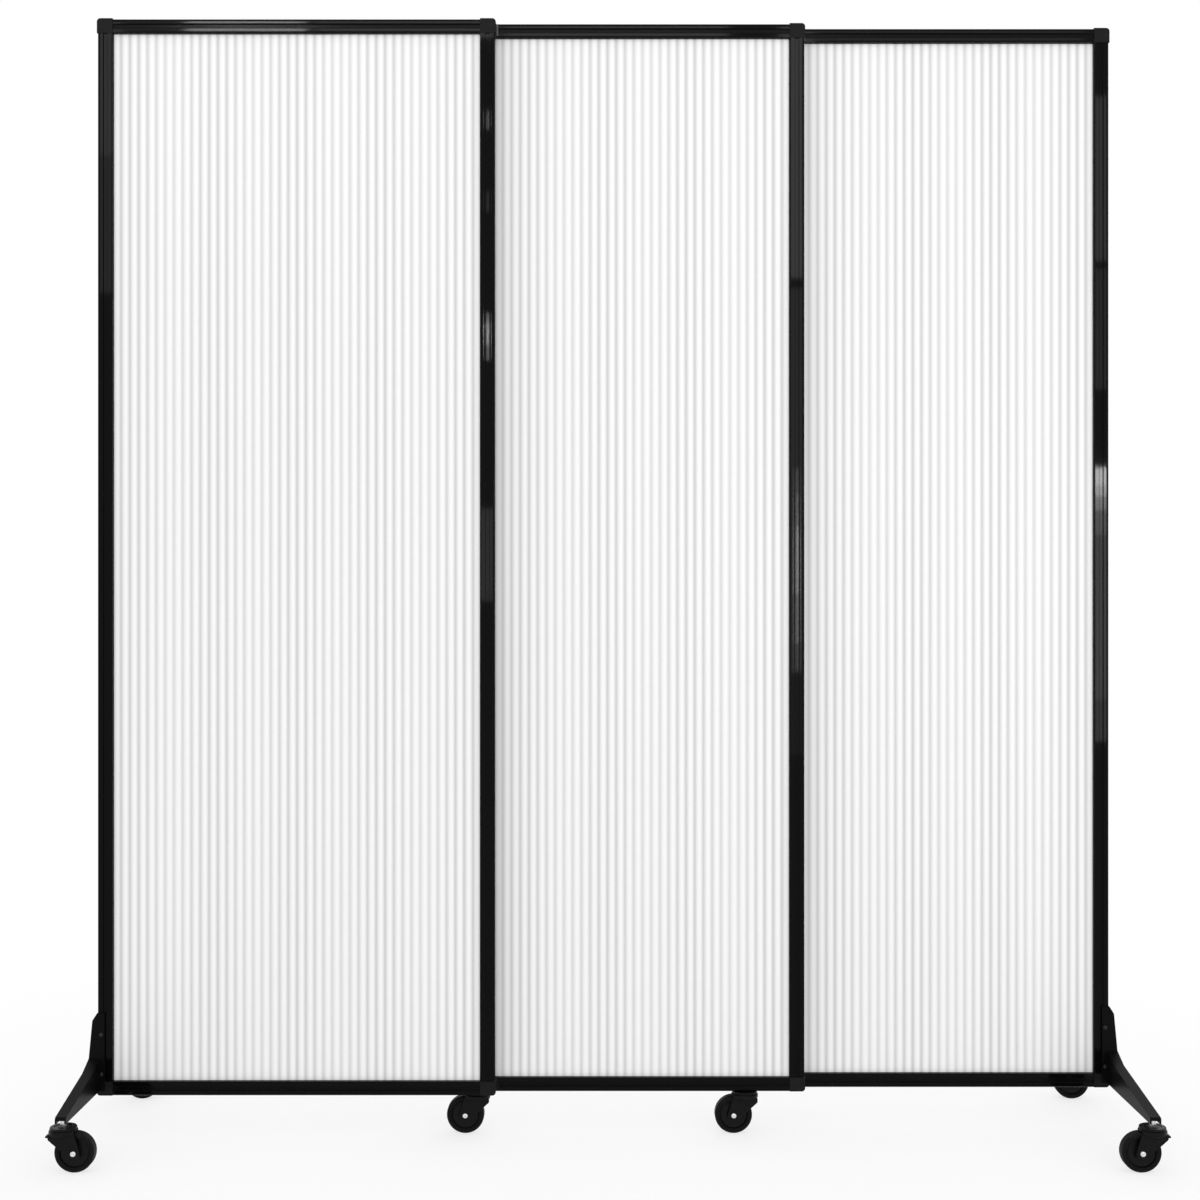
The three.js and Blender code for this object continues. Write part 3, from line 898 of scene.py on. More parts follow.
@dataclass
class FrameMember:
    """The drawn section that stiles and rails are cut from, with its outer side at 0."""

    face: float
    depth: float
    wall: float = 2.0 * MM
    groove_width: float = 7.4 * MM
    groove_depth: float = 2.5 * MM
    channel_width: float = 10.6 * MM
    channel_depth: float = 9.0 * MM
    outer_radius: float = 3.0 * MM
    inner_radius: float = 1.2 * MM
    lip_radius: float = 0.7 * MM
    overrun: float = 1.0 * MM
    has_dull_groove: bool = False

    def model(self, name: str, low: float, high: float) -> Piece:
        """Draw a length of the section along Z.

        Args:
            name: The piece's name.
            low: Its lower end.
            high: Its upper end.

        Returns:
            The length, with its outer side at X = 0 and its channel facing +X.
        """
        half = self.depth / 2
        groove = ((self.face - self.groove_width) / 2, (self.face + self.groove_width) / 2)
        groove_floor = half - self.groove_depth
        channel_floor = self.face - self.channel_depth
        channel_side = self.channel_width / 2
        front = [
            (0.0, half),
            (groove[0], half),
            (groove[0], groove_floor),
            (groove[1], groove_floor),
            (groove[1], half),
            (self.face, half),
            (self.face, channel_side),
            (channel_floor, channel_side),
        ]
        outline = front + [(across, -depth) for across, depth in reversed(front)]
        piece = Bench.traced(name, [Vector((across, depth, low)) for across, depth in outline])
        rounds = (
            ((0.0,), half, self.outer_radius, 6),
            ((self.face,), half, self.inner_radius, 4),
            (groove, half, self.lip_radius, 3),
            ((self.face,), channel_side, self.lip_radius / 2, 2),
        )
        with Bench.editing(piece):
            Bench.pick_all(Element.VERTEX)
            bpy.ops.mesh.edge_face_add()
            for columns, out, radius, segments in rounds:
                Bench.pick(
                    piece,
                    Element.VERTEX,
                    lambda at, _: min(abs(at.x - x) for x in columns) < SNAP and abs(abs(at.y) - out) < SNAP,
                )
                bpy.ops.mesh.bevel(offset=radius, segments=segments, affect="VERTICES")
            Bench.pick_all()
            Bench.pull((0.0, 0.0, high - low))
            Bench.outwards()
        chamber_half = groove_floor - self.wall
        chamber_low = (self.wall, -chamber_half, low - self.overrun)
        chamber_high = (channel_floor - self.wall, chamber_half, high + self.overrun)
        Bench.combine(piece, Bench.block("chamber", chamber_low, chamber_high))
        Bench.smooth(piece)
        for face in piece.data.polygons:
            is_across = groove[0] < face.center.x < groove[1]
            is_sunk = groove_floor - MM / 2 < abs(face.center.y) < half - self.lip_radius
            face.material_index = int(self.has_dull_groove and is_across and is_sunk)
        return piece


@dataclass
class CornerPiece:
    """A moulded corner that plugs into a stile and a rail. It is modelled as a lower left corner."""

    stile_face: float = 30.0 * MM
    rail_face: float = 28.0 * MM
    frame_depth: float = 25.0 * MM
    proud: float = 1.5 * MM
    face_proud: float = 0.8 * MM
    radius: float = 7.0 * MM
    edge_radius: float = 0.45 * MM
    tongue: float = 40.0 * MM
    clearance: float = 0.3 * MM
    overlap: float = 1.0 * MM
    rim: float = 3.4 * MM
    recess: float = 0.5 * MM
    panel_gap: float = 3.0 * MM
    shoe_length: float = 85.85 * MM
    glide_reach: float = 3.2 * MM
    glide_thickness: float = 1.0 * MM
    glide_inset: float = 2.6 * MM
    glide_radius: float = 2.0 * MM
    glide_edge: float = 0.25 * MM

    def model(self, section: FrameMember, is_top: bool, guide_side: int) -> Piece:
        """Mould a corner piece.

        Args:
            section: The frame section that it plugs into.
            is_top: Whether it stands proud of its rail.
            guide_side: 1 for a guide shoe on its back, -1 on its front and 0 for none.

        Returns:
            The corner, with the outer sides of its stile and rail at X = 0 and Z = 0.
        """
        stile, rail, gap, overlap = self.stile_face, self.rail_face, self.clearance, self.overlap
        face = self.frame_depth / 2 + self.face_proud
        left, bottom = -self.proud, -self.proud if is_top else 0.0
        piece = Bench.block("corner", (left, -face, bottom), (stile, face, rail))
        with Bench.editing(piece):
            Bench.round_edges(piece, lambda at, _: at.x < left + MM and at.z < bottom + MM, self.radius, 8)
            for side in BOTH:
                Bench.pick(piece, Element.FACE, lambda _, normal: normal.y * side > ALIGNED)
                bpy.ops.mesh.inset(thickness=self.rim, depth=0.0)
                bpy.ops.mesh.inset(thickness=self.recess, depth=-self.recess)
        Bench.soften(piece, self.edge_radius, 2, 40.0)

        half = self.frame_depth / 2 - section.groove_depth - section.wall - gap
        near = section.wall + gap
        stile_far = stile - section.channel_depth - section.wall - gap
        rail_far = rail - section.channel_depth - section.wall - gap
        seat_half = section.channel_width / 2
        added = [
            ("tongue", (near, -half, rail - overlap), (stile_far, half, rail + self.tongue), "UNION"),
            ("tongue", (stile - overlap, -half, near), (stile + self.tongue, half, rail_far), "UNION"),
            (
                "seat",
                (stile - section.channel_depth, -seat_half, rail - section.channel_depth),
                (stile + overlap, seat_half, rail + overlap),
                "DIFFERENCE",
            ),
        ]
        if guide_side:
            shoe_half = section.groove_width / 2 - gap
            inner = self.frame_depth / 2 - section.groove_depth + gap
            outer = self.frame_depth / 2 + self.panel_gap + section.groove_depth - gap
            near, far = sorted((guide_side * inner, guide_side * outer))
            shoe_high = (self.shoe_length, far, rail / 2 + shoe_half)
            added.append(("shoe", (0.0, near, rail / 2 - shoe_half), shoe_high, "UNION"))
        for name, low, high, operation in added:
            Bench.combine(piece, Bench.block(name, low, high), operation)
        return Bench.smooth(piece, 30.0)

    def glide(self, is_top: bool, guide_side: int) -> Piece:
        """Mould the nylon glide that keeps a corner off the panel beside it.

        Args:
            is_top: Whether the corner is a top one.
            guide_side: 1 for a glide on its back and -1 on its front.

        Returns:
            The glide, in the corner's place.
        """
        seat = self.frame_depth / 2 + self.face_proud
        near, far = sorted((guide_side * seat, guide_side * (seat + self.glide_thickness)))
        low = (-self.proud - self.glide_reach, near, self.glide_inset - (self.proud if is_top else 0.0))
        high = (self.proud + self.glide_reach, far, self.rail_face - self.glide_inset)
        piece = Bench.block("glide", low, high)
        with Bench.editing(piece):
            Bench.round_edges(
                piece, lambda at, way: at.x < -self.proud and abs(way.y) > ALIGNED, self.glide_radius, 5
            )
        return Bench.soften(piece, self.glide_edge)


@dataclass
class FlutedSheet:
    """A twin-wall sheet: two skins and their ribs, with each skin a little full between ribs."""

    thickness: float = 10.0 * MM
    skin: float = 0.7 * MM
    rib: float = 0.6 * MM
    pitch: float = 17.6 * MM
    fullness: float = 0.22 * MM
    columns: int = 6

    def flute(self, name: str, first: Vector) -> Piece:
        """Draw the section of one flute, with half a rib on each side.

        Args:
            name: The piece's name.
            first: The middle of the section.

        Returns:
            The flat section.
        """
        half = self.thickness / 2
        rib_side = (self.pitch - self.rib) / 2
        shares = [2 * column / self.columns - 1 for column in range(self.columns + 1)]
        Bench.clear()
        bpy.ops.mesh.primitive_plane_add(size=1.0, location=first)
        bpy.ops.transform.resize(value=(self.pitch, self.thickness, 1.0), center_override=first)
        piece = Bench.settle(name)
        with Bench.editing(piece):
            for share in shares:
                Bench.slice(first + Vector((rib_side * share, 0.0, 0.0)), X_AXIS)
            for side in BOTH:
                Bench.slice(first + Vector((0.0, side * (half - self.skin), 0.0)), Y_AXIS)
            Bench.pick(
                piece,
                Element.FACE,
                lambda at, _: abs(at.x - first.x) < rib_side and abs(at.y - first.y) < half - self.skin,
            )
            bpy.ops.mesh.delete(type="FACE")
            for side in BOTH:
                for share in shares:
                    across = first.x + rib_side * share
                    Bench.pick(
                        piece,
                        Element.VERTEX,
                        lambda at, _: abs(at.x - across) < self.skin / 2 and (at.y - first.y) * side > half / 2,
                    )
                    inset = self.fullness * share * share
                    bpy.ops.transform.translate(value=(0.0, -side * inset, 0.0))
        return piece

    def model(self, name: str, low: Vector, high: Vector) -> Piece:
        """Extrude a sheet.

        Args:
            name: The piece's name.
            low: The lowest corner of its place.
            high: The highest corner of its place.

        Returns:
            The sheet, with its flutes open at the top and bottom.
        """
        centre = (low + high) / 2
        flutes = int((high.x - low.x - self.rib) // self.pitch)
        piece = self.flute(name, Vector((centre.x - (flutes - 1) * self.pitch / 2, centre.y, low.z)))
        Bench.modify(
            piece,
            "ARRAY",
            count=flutes,
            use_relative_offset=False,
            use_constant_offset=True,
            constant_offset_displace=(self.pitch, 0.0, 0.0),
            use_merge_vertices=True,
            merge_threshold=SNAP,
        )
        with Bench.editing(piece):
            for side, limit in zip(BOTH, (low.x, high.x)):
                edge = centre.x + side * flutes * self.pitch / 2
                Bench.pick(piece, Element.EDGE, lambda at, way: abs(at.x - edge) < SNAP and abs(way.y) > ALIGNED)
                Bench.pull((limit - edge, 0.0, 0.0))
            Bench.pick_all()
            Bench.pull((0.0, 0.0, high.z - low.z))
            Bench.outwards()
        return Bench.smooth(piece, 20.0)


@dataclass
class Gasket:
    """The rubber strips that hold a sheet in its channels, a frame of them on each face."""

    thickness: float = 0.28 * MM
    depth: float = 3.0 * MM
    lip: float = 0.6 * MM
    edge_radius: float = 0.08 * MM
    overrun: float = 1.0 * MM

    def model(self, name: str, low: Vector, high: Vector) -> Piece:
        """Cut a sheet's gaskets.

        Args:
            name: The piece's name.
            low: The lowest corner of the frame's opening, at the sheet's front face.
            high: Its highest corner, at the sheet's back face.

        Returns:
            Both strips, as one piece.
        """
        seat = Vector((self.depth, 0.0, self.depth))
        inner = Vector((self.lip, -self.overrun, self.lip))
        made = []
        for side, face in zip(BOTH, (low.y, high.y)):
            near, far = sorted((face, face + side * self.thickness))
            start, end = Vector((low.x, near, low.z)), Vector((high.x, far, high.z))
            strip = Bench.block("strip", start - seat, end + seat)
            Bench.combine(strip, Bench.block("opening", start + inner, end - inner))
            made.append(strip)
        return Bench.soften(Bench.join(made, name), self.edge_radius)


class Panels:
    """The three framed panels. A guide faces the panel behind, 1, or in front, -1."""

    names = ("left", "middle", "right")
    sides = ("left", "right")
    guides = {"left": (0, 1), "middle": (-1, 1), "right": (-1, 0)}
    stem_hole_radius = 5.3 * MM
    stem_hole_depth = 3.0 * MM

    def __init__(self) -> None:
        """Read the members' sizes from the frame."""
        stile_low, stile_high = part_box("middle_left_stile")
        rail_low, rail_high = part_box("middle_top_rail")
        depth = stile_high.y - stile_low.y
        self.stile = FrameMember(stile_high.x - stile_low.x, depth)
        self.rail = FrameMember(rail_high.z - rail_low.z, depth, has_dull_groove=True)
        self.corner = CornerPiece(self.stile.face, self.rail.face, depth)
        self.sheet = FlutedSheet()
        self.gasket = Gasket()
        self.stile_span = (stile_low.z, stile_high.z)
        self.rail_half = (rail_high.x - rail_low.x) / 2
        self.panel_top = rail_high.z
        self.panel_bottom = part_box("middle_bottom_rail")[0].z

    def make_members(self) -> None:
        """Draw one stile and one rail, and cut the twelve members from them."""
        stile = self.stile.model("stile", *self.stile_span)
        rail = self.rail.model("rail", -self.rail_half, self.rail_half)
        for panel in self.names:
            for side, turn in zip(self.sides, (0.0, math.pi)):
                node = f"{panel}_{side}_stile"
                low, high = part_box(node)
                outer = low.x if side == "left" else high.x
                placing = Matrix.Translation((outer, (low.y + high.y) / 2, 0.0)) @ Matrix.Rotation(turn, 4, "Z")
                stand_in(Bench.copy(stile, f"{node}_drawn", placing), node, STILE_BLACK)
            for level, turn in (("top", math.pi / 2), ("bottom", -math.pi / 2)):
                node = f"{panel}_{level}_rail"
                low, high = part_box(node)
                place = (low + high) / 2
                place.z = high.z if level == "top" else low.z
                piece = Bench.copy(rail, f"{node}_drawn", Matrix.Translation(place) @ Matrix.Rotation(turn, 4, "Y"))
                if node == "middle_bottom_rail":
                    self.drill(piece, low.z)
                stand_in(piece, node, RAIL_BLACK, GROOVE_BLACK)
        Bench.discard(stile, rail)

    def drill(self, rail: Piece, underside: float) -> None:
        """Drill the middle panel's bottom rail for its caster stems.

        Args:
            rail: The rail.
            underside: The height of its underside.
        """
        for side in self.sides:
            stem = centre_of(f"middle_{side}_caster_stem")
            start = (stem.x, stem.y, underside - MM)
            end = (stem.x, stem.y, underside + self.stem_hole_depth)
            Bench.combine(rail, Bench.bar("drill", self.stem_hole_radius, start, end, 24))

    def make_corners(self) -> None:
        """Mould the twelve corner pieces, and a glide on each that runs against a neighbour."""
        half = self.rail_half + self.stile.face + self.corner.clearance
        for panel in self.names:
            middle = centre_of(f"{panel}_sheet")
            for level, up, height in (("bottom", 1.0, self.panel_bottom), ("top", -1.0, self.panel_top)):
                is_top = level == "top"
                for side, out, guide_side in zip(self.sides, BOTH, self.guides[panel]):
                    node = f"{panel}_{level}_{side}_corner"
                    mirrored = Matrix.Diagonal((-out, 1.0, up, 1.0))
                    placing = Matrix.Translation((middle.x + out * half, middle.y, height)) @ mirrored
                    corner = self.corner.model(self.stile, is_top, guide_side)
                    stand_in(Bench.put(corner, f"{node}_moulded", placing), node, CORNER_PLASTIC)
                    if guide_side:
                        glide = Bench.put(
                            self.corner.glide(is_top, guide_side), node.replace("corner", "glide"), placing
                        )
                        # A top glide is pale grey, a painted highlight; a bottom one is black.
                        fit(glide, body_of(node), GLIDE_NYLON_PAINTED_HIGHLIGHT if is_top else GLIDE_BLACK)

    def make_sheets(self) -> None:
        """Extrude the three fluted sheets."""
        for panel in self.names:
            node = f"{panel}_sheet"
            low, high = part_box(node)
            finish = OpalFlutes(f"opal_{panel}", Slot.SHEET, (low.x + high.x) / 2, self.sheet.pitch)
            stand_in(self.sheet.model(f"{node}_extruded", low, high), node, finish)

    def make_gaskets(self) -> None:
        """Run a gasket round each sheet, between it and its frame."""
        for panel in self.names:
            node = f"{panel}_sheet"
            front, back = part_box(node)
            low = Vector((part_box(f"{panel}_left_stile")[1].x, front.y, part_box(f"{panel}_bottom_rail")[1].z))
            high = Vector((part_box(f"{panel}_right_stile")[0].x, back.y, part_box(f"{panel}_top_rail")[0].z))
            fit(self.gasket.model(f"{node}_gasket", low, high), body_of(node), GASKET_RUBBER)

    def make(self) -> None:
        """Make everything that the panels hold."""
        self.make_members()
        self.make_corners()
        self.make_sheets()
        self.make_gaskets()


@dataclass
class Leg:
    """A cast leg with the screws that hold its flange to the stile. The screws' profile is in millimetres."""

    end: str
    place: str
    edge_radius: float = 1.3 * MM
    flange: float = 2.8 * MM
    screw_heights: tuple[float, ...] = (207.0 * MM, 128.0 * MM)
    screw_inset: float = 7.9 * MM
    screw_profile: tuple[Pair, ...] = (
        (0.0, 0.0), (4.1, 0.0), (4.1, 0.6), (3.5, 0.75), (3.4, 1.3), (2.9, 2.1), (2.1, 2.6), (0.0, 2.7)
    )
    socket_radius: float = 1.25 * MM
    socket_start: float = 1.1 * MM
    socket_end: float = 4.0 * MM

    @property
    def node(self) -> str:
        """The leg's node."""
        return f"{self.end}_{self.place}_leg"

    def cast(self) -> Piece:
        """Refine a copy of the frame's leg: its facets are merged and its edges are rounded.

        Returns:
            The leg.
        """
        piece = Bench.copy(frame["nodes"][self.node], f"{self.node}_cast", Matrix.Identity(4))
        for name in [name for name in piece.keys() if name.startswith("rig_")]:
            del piece[name]
        piece.parent = None
        piece.data.materials.clear()
        with Bench.editing(piece):
            Bench.outwards()
            bpy.ops.mesh.dissolve_limited(angle_limit=math.radians(0.5))
        return Bench.soften(piece, self.edge_radius, 3, 20.0)

    def screws(self) -> Piece:
        """Turn the flange's button-head screws, each on a washer and with a hexagon socket.

        Returns:
            All of them, as one piece.
        """
        stile_low, stile_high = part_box(f"{self.end}_{self.end}_stile")
        outer = stile_low.x + self.screw_inset if self.end == "left" else stile_high.x - self.screw_inset
        is_front = self.place == "front"
        front = -1.0 if is_front else 1.0
        face = (stile_low.y if is_front else stile_high.y) + front * self.flange
        profile = [(radius * MM, front * rise * MM) for radius, rise in self.screw_profile]
        way = Vector((0.0, front, 0.0))
        made = []
        for index, height in enumerate(self.screw_heights):
            seat = Vector((outer, face, height))
            screw = Bench.turned(f"screw_{index}", profile, 24, seat)
            start, end = seat + way * self.socket_start, seat + way * self.socket_end
            Bench.combine(screw, Bench.bar("socket", self.socket_radius, start, end, 6))
            made.append(screw)
        return Bench.smooth(Bench.join(made, f"{self.node}_screws"), 30.0)

    def make(self) -> None:
        """Make the leg and its screws."""
        stand_in(self.cast(), self.node, LEG_BLACK)
        fit(self.screws(), body_of(self.node), SCREW_BLACK)


@dataclass
class CasterSizes:
    """The sizes that the casters share, with the kingpin on X = Y = 0 and the floor at Z = 0."""

    wheel_radius: float = 37.5 * MM
    tread_half: float = 12.0 * MM
    shoulder_rise: float = 3.4 * MM
    shoulder_width: float = 4.6 * MM
    shoulder_steps: int = 7
    rim_radius: float = 30.0 * MM
    lip_radius: float = 27.5 * MM
    web_half: float = 7.0 * MM
    hub_radius: float = 11.5 * MM
    hub_half: float = 13.2 * MM
    bore_radius: float = 4.3 * MM
    trail: float = 23.0 * MM
    tyre_gap: float = 2.5 * MM
    crown_bottom: float = 71.6 * MM
    crown_top: float = 79.6 * MM
    crown_radius: float = 27.0 * MM
    plate_inner: float = 13.5 * MM
    plate_outer: float = 16.0 * MM
    plate_front: float = 25.0 * MM
    plate_front_drop: float = 8.0 * MM
    plate_front_radius: float = 2.0 * MM
    plate_end: float = 12.0 * MM
    plate_end_radius: float = 7.0 * MM
    thread_radius: float = 5.0 * MM
    thread_pitch: float = 1.25 * MM
    thread_depth: float = 0.45 * MM
    kingpin_radius: float = 4.0 * MM
    kingpin_head: float = 7.0 * MM
    kingpin_head_height: float = 3.4 * MM
    raceway_radius: float = 25.0 * MM
    raceway_bottom: float = 79.9 * MM
    raceway_top: float = 84.7 * MM
    collar_radius: float = 7.0 * MM
    collar_top: float = 99.7 * MM
    stem_nut_radius: float = 7.5 * MM
    stem_nut_bottom: float = 87.3 * MM
    stem_nut_top: float = 93.8 * MM
    axle_radius: float = 4.0 * MM
    seat: float = 16.3 * MM
    head_height: float = 3.6 * MM
    head_radius: float = 5.5 * MM
    nut_height: float = 5.0 * MM
    nut_radius: float = 6.5 * MM
    nut_edge: float = 0.5 * MM
    pin_radius: float = 2.5 * MM
    pivot_forward: float = 14.0 * MM
    pivot_height: float = 65.0 * MM
    clearance: float = 0.3 * MM


@dataclass
class PedalSizes:
    """The brake pedal's sizes, with its pivot at X = Z = 0 and its toe to +X."""

    back: float = -5.5 * MM
    toe: float = 16.5 * MM
    toe_radius: float = 1.5 * MM
    bottom: float = 0.9 * MM
    top: float = 4.9 * MM
    shoe_back: float = 0.3 * MM
    shoe_front: float = 7.2 * MM
    shoe_drop: float = 11.1 * MM
    shoe_taper: float = 0.52
    rib_start: float = 8.7 * MM
    rib_step: float = 1.05 * MM
    rib_sides: int = 7
    rib_rise: float = 0.55 * MM


class CasterPatterns:
    """One of each caster piece, about its own kingpin or axle, to copy the others from."""

    def __init__(self) -> None:
        """Make the patterns."""
        self.sizes = CasterSizes()
        self.tyre = self.make_tyre()
        self.centre = self.make_centre()
        self.axle = self.make_axle()
        self.plain_fork = self.make_fork(False)
        self.braked_fork = self.make_fork(True)
        self.pedal = self.make_pedal()

    @staticmethod
    def make_ring(name: str, half: Profile, smoothing: float) -> Piece:
        """Turn a ring that is alike on both sides.

        Args:
            name: The piece's name.
            half: The profile of one side, from the bore outwards.
            smoothing: The sharpest edge that is smoothed, in degrees.

        Returns:
            The ring.
        """
        other = [(radius, -height) for radius, height in reversed(half)]
        return Bench.smooth(Bench.turned(name, [*half, *other, half[0]], 72), smoothing)

    def make_tyre(self) -> Piece:
        """Turn the tyre, with a crowned tread and round shoulders.

        Returns:
            The tyre.
        """
        s = self.sizes
        half = [(s.rim_radius, s.tread_half - 0.9 * MM), (s.rim_radius + 0.9 * MM, s.tread_half)]
        for step in range(s.shoulder_steps + 1):
            angle = math.radians(90.0 * step / s.shoulder_steps)
            radius = s.wheel_radius - s.shoulder_rise + s.shoulder_rise * math.sin(angle)
            half.append((radius, s.tread_half - s.shoulder_width * (1.0 - math.cos(angle))))
        return self.make_ring("tyre_pattern", half, 35.0)

    def make_centre(self) -> Piece:
        """Turn the wheel's centre, with a dished recess and a hub on each side.

        Returns:
            The centre.
        """
        s = self.sizes
        half = [
            (s.bore_radius, s.hub_half - 0.5 * MM),
            (s.bore_radius + 0.5 * MM, s.hub_half),
            (s.hub_radius - 1.6 * MM, s.hub_half),
            (s.hub_radius - 0.5 * MM, s.hub_half - 0.5 * MM),
            (s.hub_radius, s.hub_half - 1.5 * MM),
            (s.hub_radius + 0.7 * MM, s.web_half + 1.1 * MM),
            (s.hub_radius + 1.8 * MM, s.web_half),
            (s.lip_radius - 2.2 * MM, s.web_half),
            (s.lip_radius - 1.0 * MM, s.web_half + 1.0 * MM),
            (s.lip_radius, s.tread_half - 1.0 * MM),
            (s.lip_radius + 0.6 * MM, s.tread_half - 0.4 * MM),
            (s.rim_radius - 0.6 * MM, s.tread_half - 0.4 * MM),
            (s.rim_radius - 0.02 * MM, s.tread_half - 1.0 * MM),
        ]
        return self.make_ring("centre_pattern", half, 40.0)

    def make_axle(self) -> Piece:
        """Turn the axle bolt, with a domed head at the front, and put its lock nut on.

        Returns:
            The bolt and its nut, as one piece.
        """
        s = self.sizes
        head = -s.seat - s.head_height
        profile = [
            (0.0, head + 0.7 * MM),
            (1.5 * MM, head + 0.5 * MM),
            (2.1 * MM, head + 0.02 * MM),
            (3.3 * MM, head + 0.25 * MM),
            (4.4 * MM, head + 0.8 * MM),
            (5.2 * MM, head + 1.7 * MM),
            (s.head_radius, -s.seat - 0.9 * MM),
            (s.head_radius, -s.seat),
            (s.axle_radius, -s.seat),
            (s.axle_radius, s.seat + s.nut_height - 0.6 * MM),
            (s.axle_radius - 0.6 * MM, s.seat + s.nut_height),
            (0.0, s.seat + s.nut_height),
        ]
        piece = Bench.turned("axle_pattern", profile, 36)
        nut = Bench.bar("nut", s.nut_radius, (0.0, s.seat, 0.0), (0.0, s.seat + s.nut_height - 1.2 * MM, 0.0), 6)
        Bench.combine(piece, Bench.soften(nut, s.nut_edge), "UNION")
        return Bench.smooth(piece, 30.0)

    def make_plate(self, side: float) -> Piece:
        """Press one of the fork's plates.

        Args:
            side: 1 for the rear plate and -1 for the front one.

        Returns:
            The plate, with a slanted leading edge and a round end about the axle.
        """
        s = self.sizes
        axle = Vector((-s.trail, 0.0, s.wheel_radius))
        near, far = sorted((side * s.plate_inner, side * s.plate_outer))
        top = s.crown_bottom + MM
        low = (axle.x - s.plate_end, near, axle.z - s.plate_end)
        piece = Bench.block(f"plate_{side:.0f}", low, (s.plate_front, far, top))
        slant = math.radians(-45.0)
        tangent = axle + Vector((math.cos(slant), 0.0, math.sin(slant))) * s.plate_end
        corner = Vector((s.plate_front, 0.0, s.crown_bottom - s.plate_front_drop))
        leading = corner - tangent
        shoulder = Vector((-s.plate_front, 0.0, top))
        trailing = shoulder - Vector((axle.x - s.plate_end, 0.0, axle.z))
        rounds = (
            (lambda at, way: at.z < axle.z - s.plate_end / 2 and abs(way.y) > ALIGNED, s.plate_end_radius, 7),
            (lambda at, way: at.x > s.plate_front - MM and abs(way.y) > ALIGNED, s.plate_front_radius, 4),
        )
        with Bench.editing(piece):
            Bench.slice(corner, (leading.z, 0.0, -leading.x), True)
            Bench.slice(shoulder, (-trailing.z, 0.0, trailing.x), True)
            for test, radius, segments in rounds:
                Bench.round_edges(piece, test, radius, segments)
            Bench.outwards()
        return piece

    def make_fork(self, has_pedal: bool) -> Piece:
        """Press the fork, with a round crown, two plates and its bores.

        Args:
            has_pedal: Whether it is bored for a brake pedal's pins.

        Returns:
            The fork, with the wheel's place behind it, to -X.
        """
        s = self.sizes
        name = "braked_fork_pattern" if has_pedal else "plain_fork_pattern"
        profile = [
            (0.0, s.crown_bottom),
            (s.crown_radius - 0.8 * MM, s.crown_bottom),
            (s.crown_radius, s.crown_bottom + 0.8 * MM),
            (s.crown_radius, s.crown_top - 2.6 * MM),
            (s.crown_radius - 0.7 * MM, s.crown_top - 1.0 * MM),
            (s.crown_radius - 2.2 * MM, s.crown_top),
            (0.0, s.crown_top),
        ]
        piece = Bench.turned(name, profile, 64, ORIGIN, Z_AXIS)
        for side in BOTH:
            Bench.combine(piece, self.make_plate(side), "UNION")
        axle = Vector((-s.trail, 0.0, s.wheel_radius))
        pivot = Vector((s.pivot_forward, 0.0, s.pivot_height))
        across = Vector((0.0, s.plate_inner, 0.0))
        through = Vector((0.0, s.plate_outer + MM, 0.0))
        seat_top = s.crown_bottom + s.kingpin_head_height + 2 * s.clearance
        cutters = [
            (s.wheel_radius + s.tyre_gap, axle - across, axle + across, 72),
            (s.axle_radius + s.clearance, axle - through, axle + through, 24),
            (s.kingpin_radius + s.clearance, (0.0, 0.0, s.crown_bottom), (0.0, 0.0, s.crown_top + MM), 24),
            (s.kingpin_head + s.clearance, (0.0, 0.0, s.crown_bottom - 8 * MM), (0.0, 0.0, seat_top), 32),
        ]
        if has_pedal:
            cutters.append((s.pin_radius + s.clearance, pivot - through, pivot + through, 20))
        for radius, start, end, sides in cutters:
            Bench.combine(piece, Bench.bar("cutter", radius, start, end, sides))
        return Bench.soften(piece, 0.4 * MM, 2, 40.0)

    def make_pedal(self) -> Piece:
        """Mould the brake pedal: a ribbed toe plate, a brake shoe under it and a pivot through it.

        Returns:
            The pedal.
        """
        s, p = self.sizes, PedalSizes()
        half = s.plate_inner - s.clearance
        ribs = [p.rib_start + p.rib_step * step for step in range(p.rib_sides)]
        piece = Bench.block("pedal_pattern", (p.back, -half, p.bottom), (p.toe, half, p.top))
        with Bench.editing(piece):
            for across in (p.shoe_back, p.shoe_front):
                Bench.slice((across, 0.0, 0.0), X_AXIS)
            Bench.pick(piece, Element.FACE, lambda at, way: p.shoe_back < at.x < p.shoe_front and way.z < -ALIGNED)
            Bench.pull((0.0, 0.0, -p.shoe_drop))
            tip = Vector((p.shoe_back, 0.0, p.bottom - p.shoe_drop))
            bpy.ops.transform.resize(value=(p.shoe_taper, 1.0, 1.0), center_override=tip)
            for across in ribs:
                Bench.slice((across, 0.0, 0.0), X_AXIS)
            for low, high in zip(ribs[::2], ribs[1::2]):
                Bench.pick(piece, Element.FACE, lambda at, way: low < at.x < high and way.z > ALIGNED)
                Bench.pull((0.0, 0.0, p.rib_rise))
            Bench.round_edges(
                piece, lambda at, way: at.x > p.toe - MM / 2 and abs(way.y) > ALIGNED, p.toe_radius, 5
            )
        pins = Bench.bar("pins", s.pin_radius, (0.0, -s.plate_outer, 0.0), (0.0, s.plate_outer, 0.0), 24)
        Bench.combine(piece, pins, "UNION")
        return Bench.soften(piece, 0.3 * MM, 2, 35.0)

    def discard(self) -> None:
        """Take the patterns away once all the casters are made."""
        Bench.discard(self.tyre, self.centre, self.axle, self.plain_fork, self.braked_fork, self.pedal)


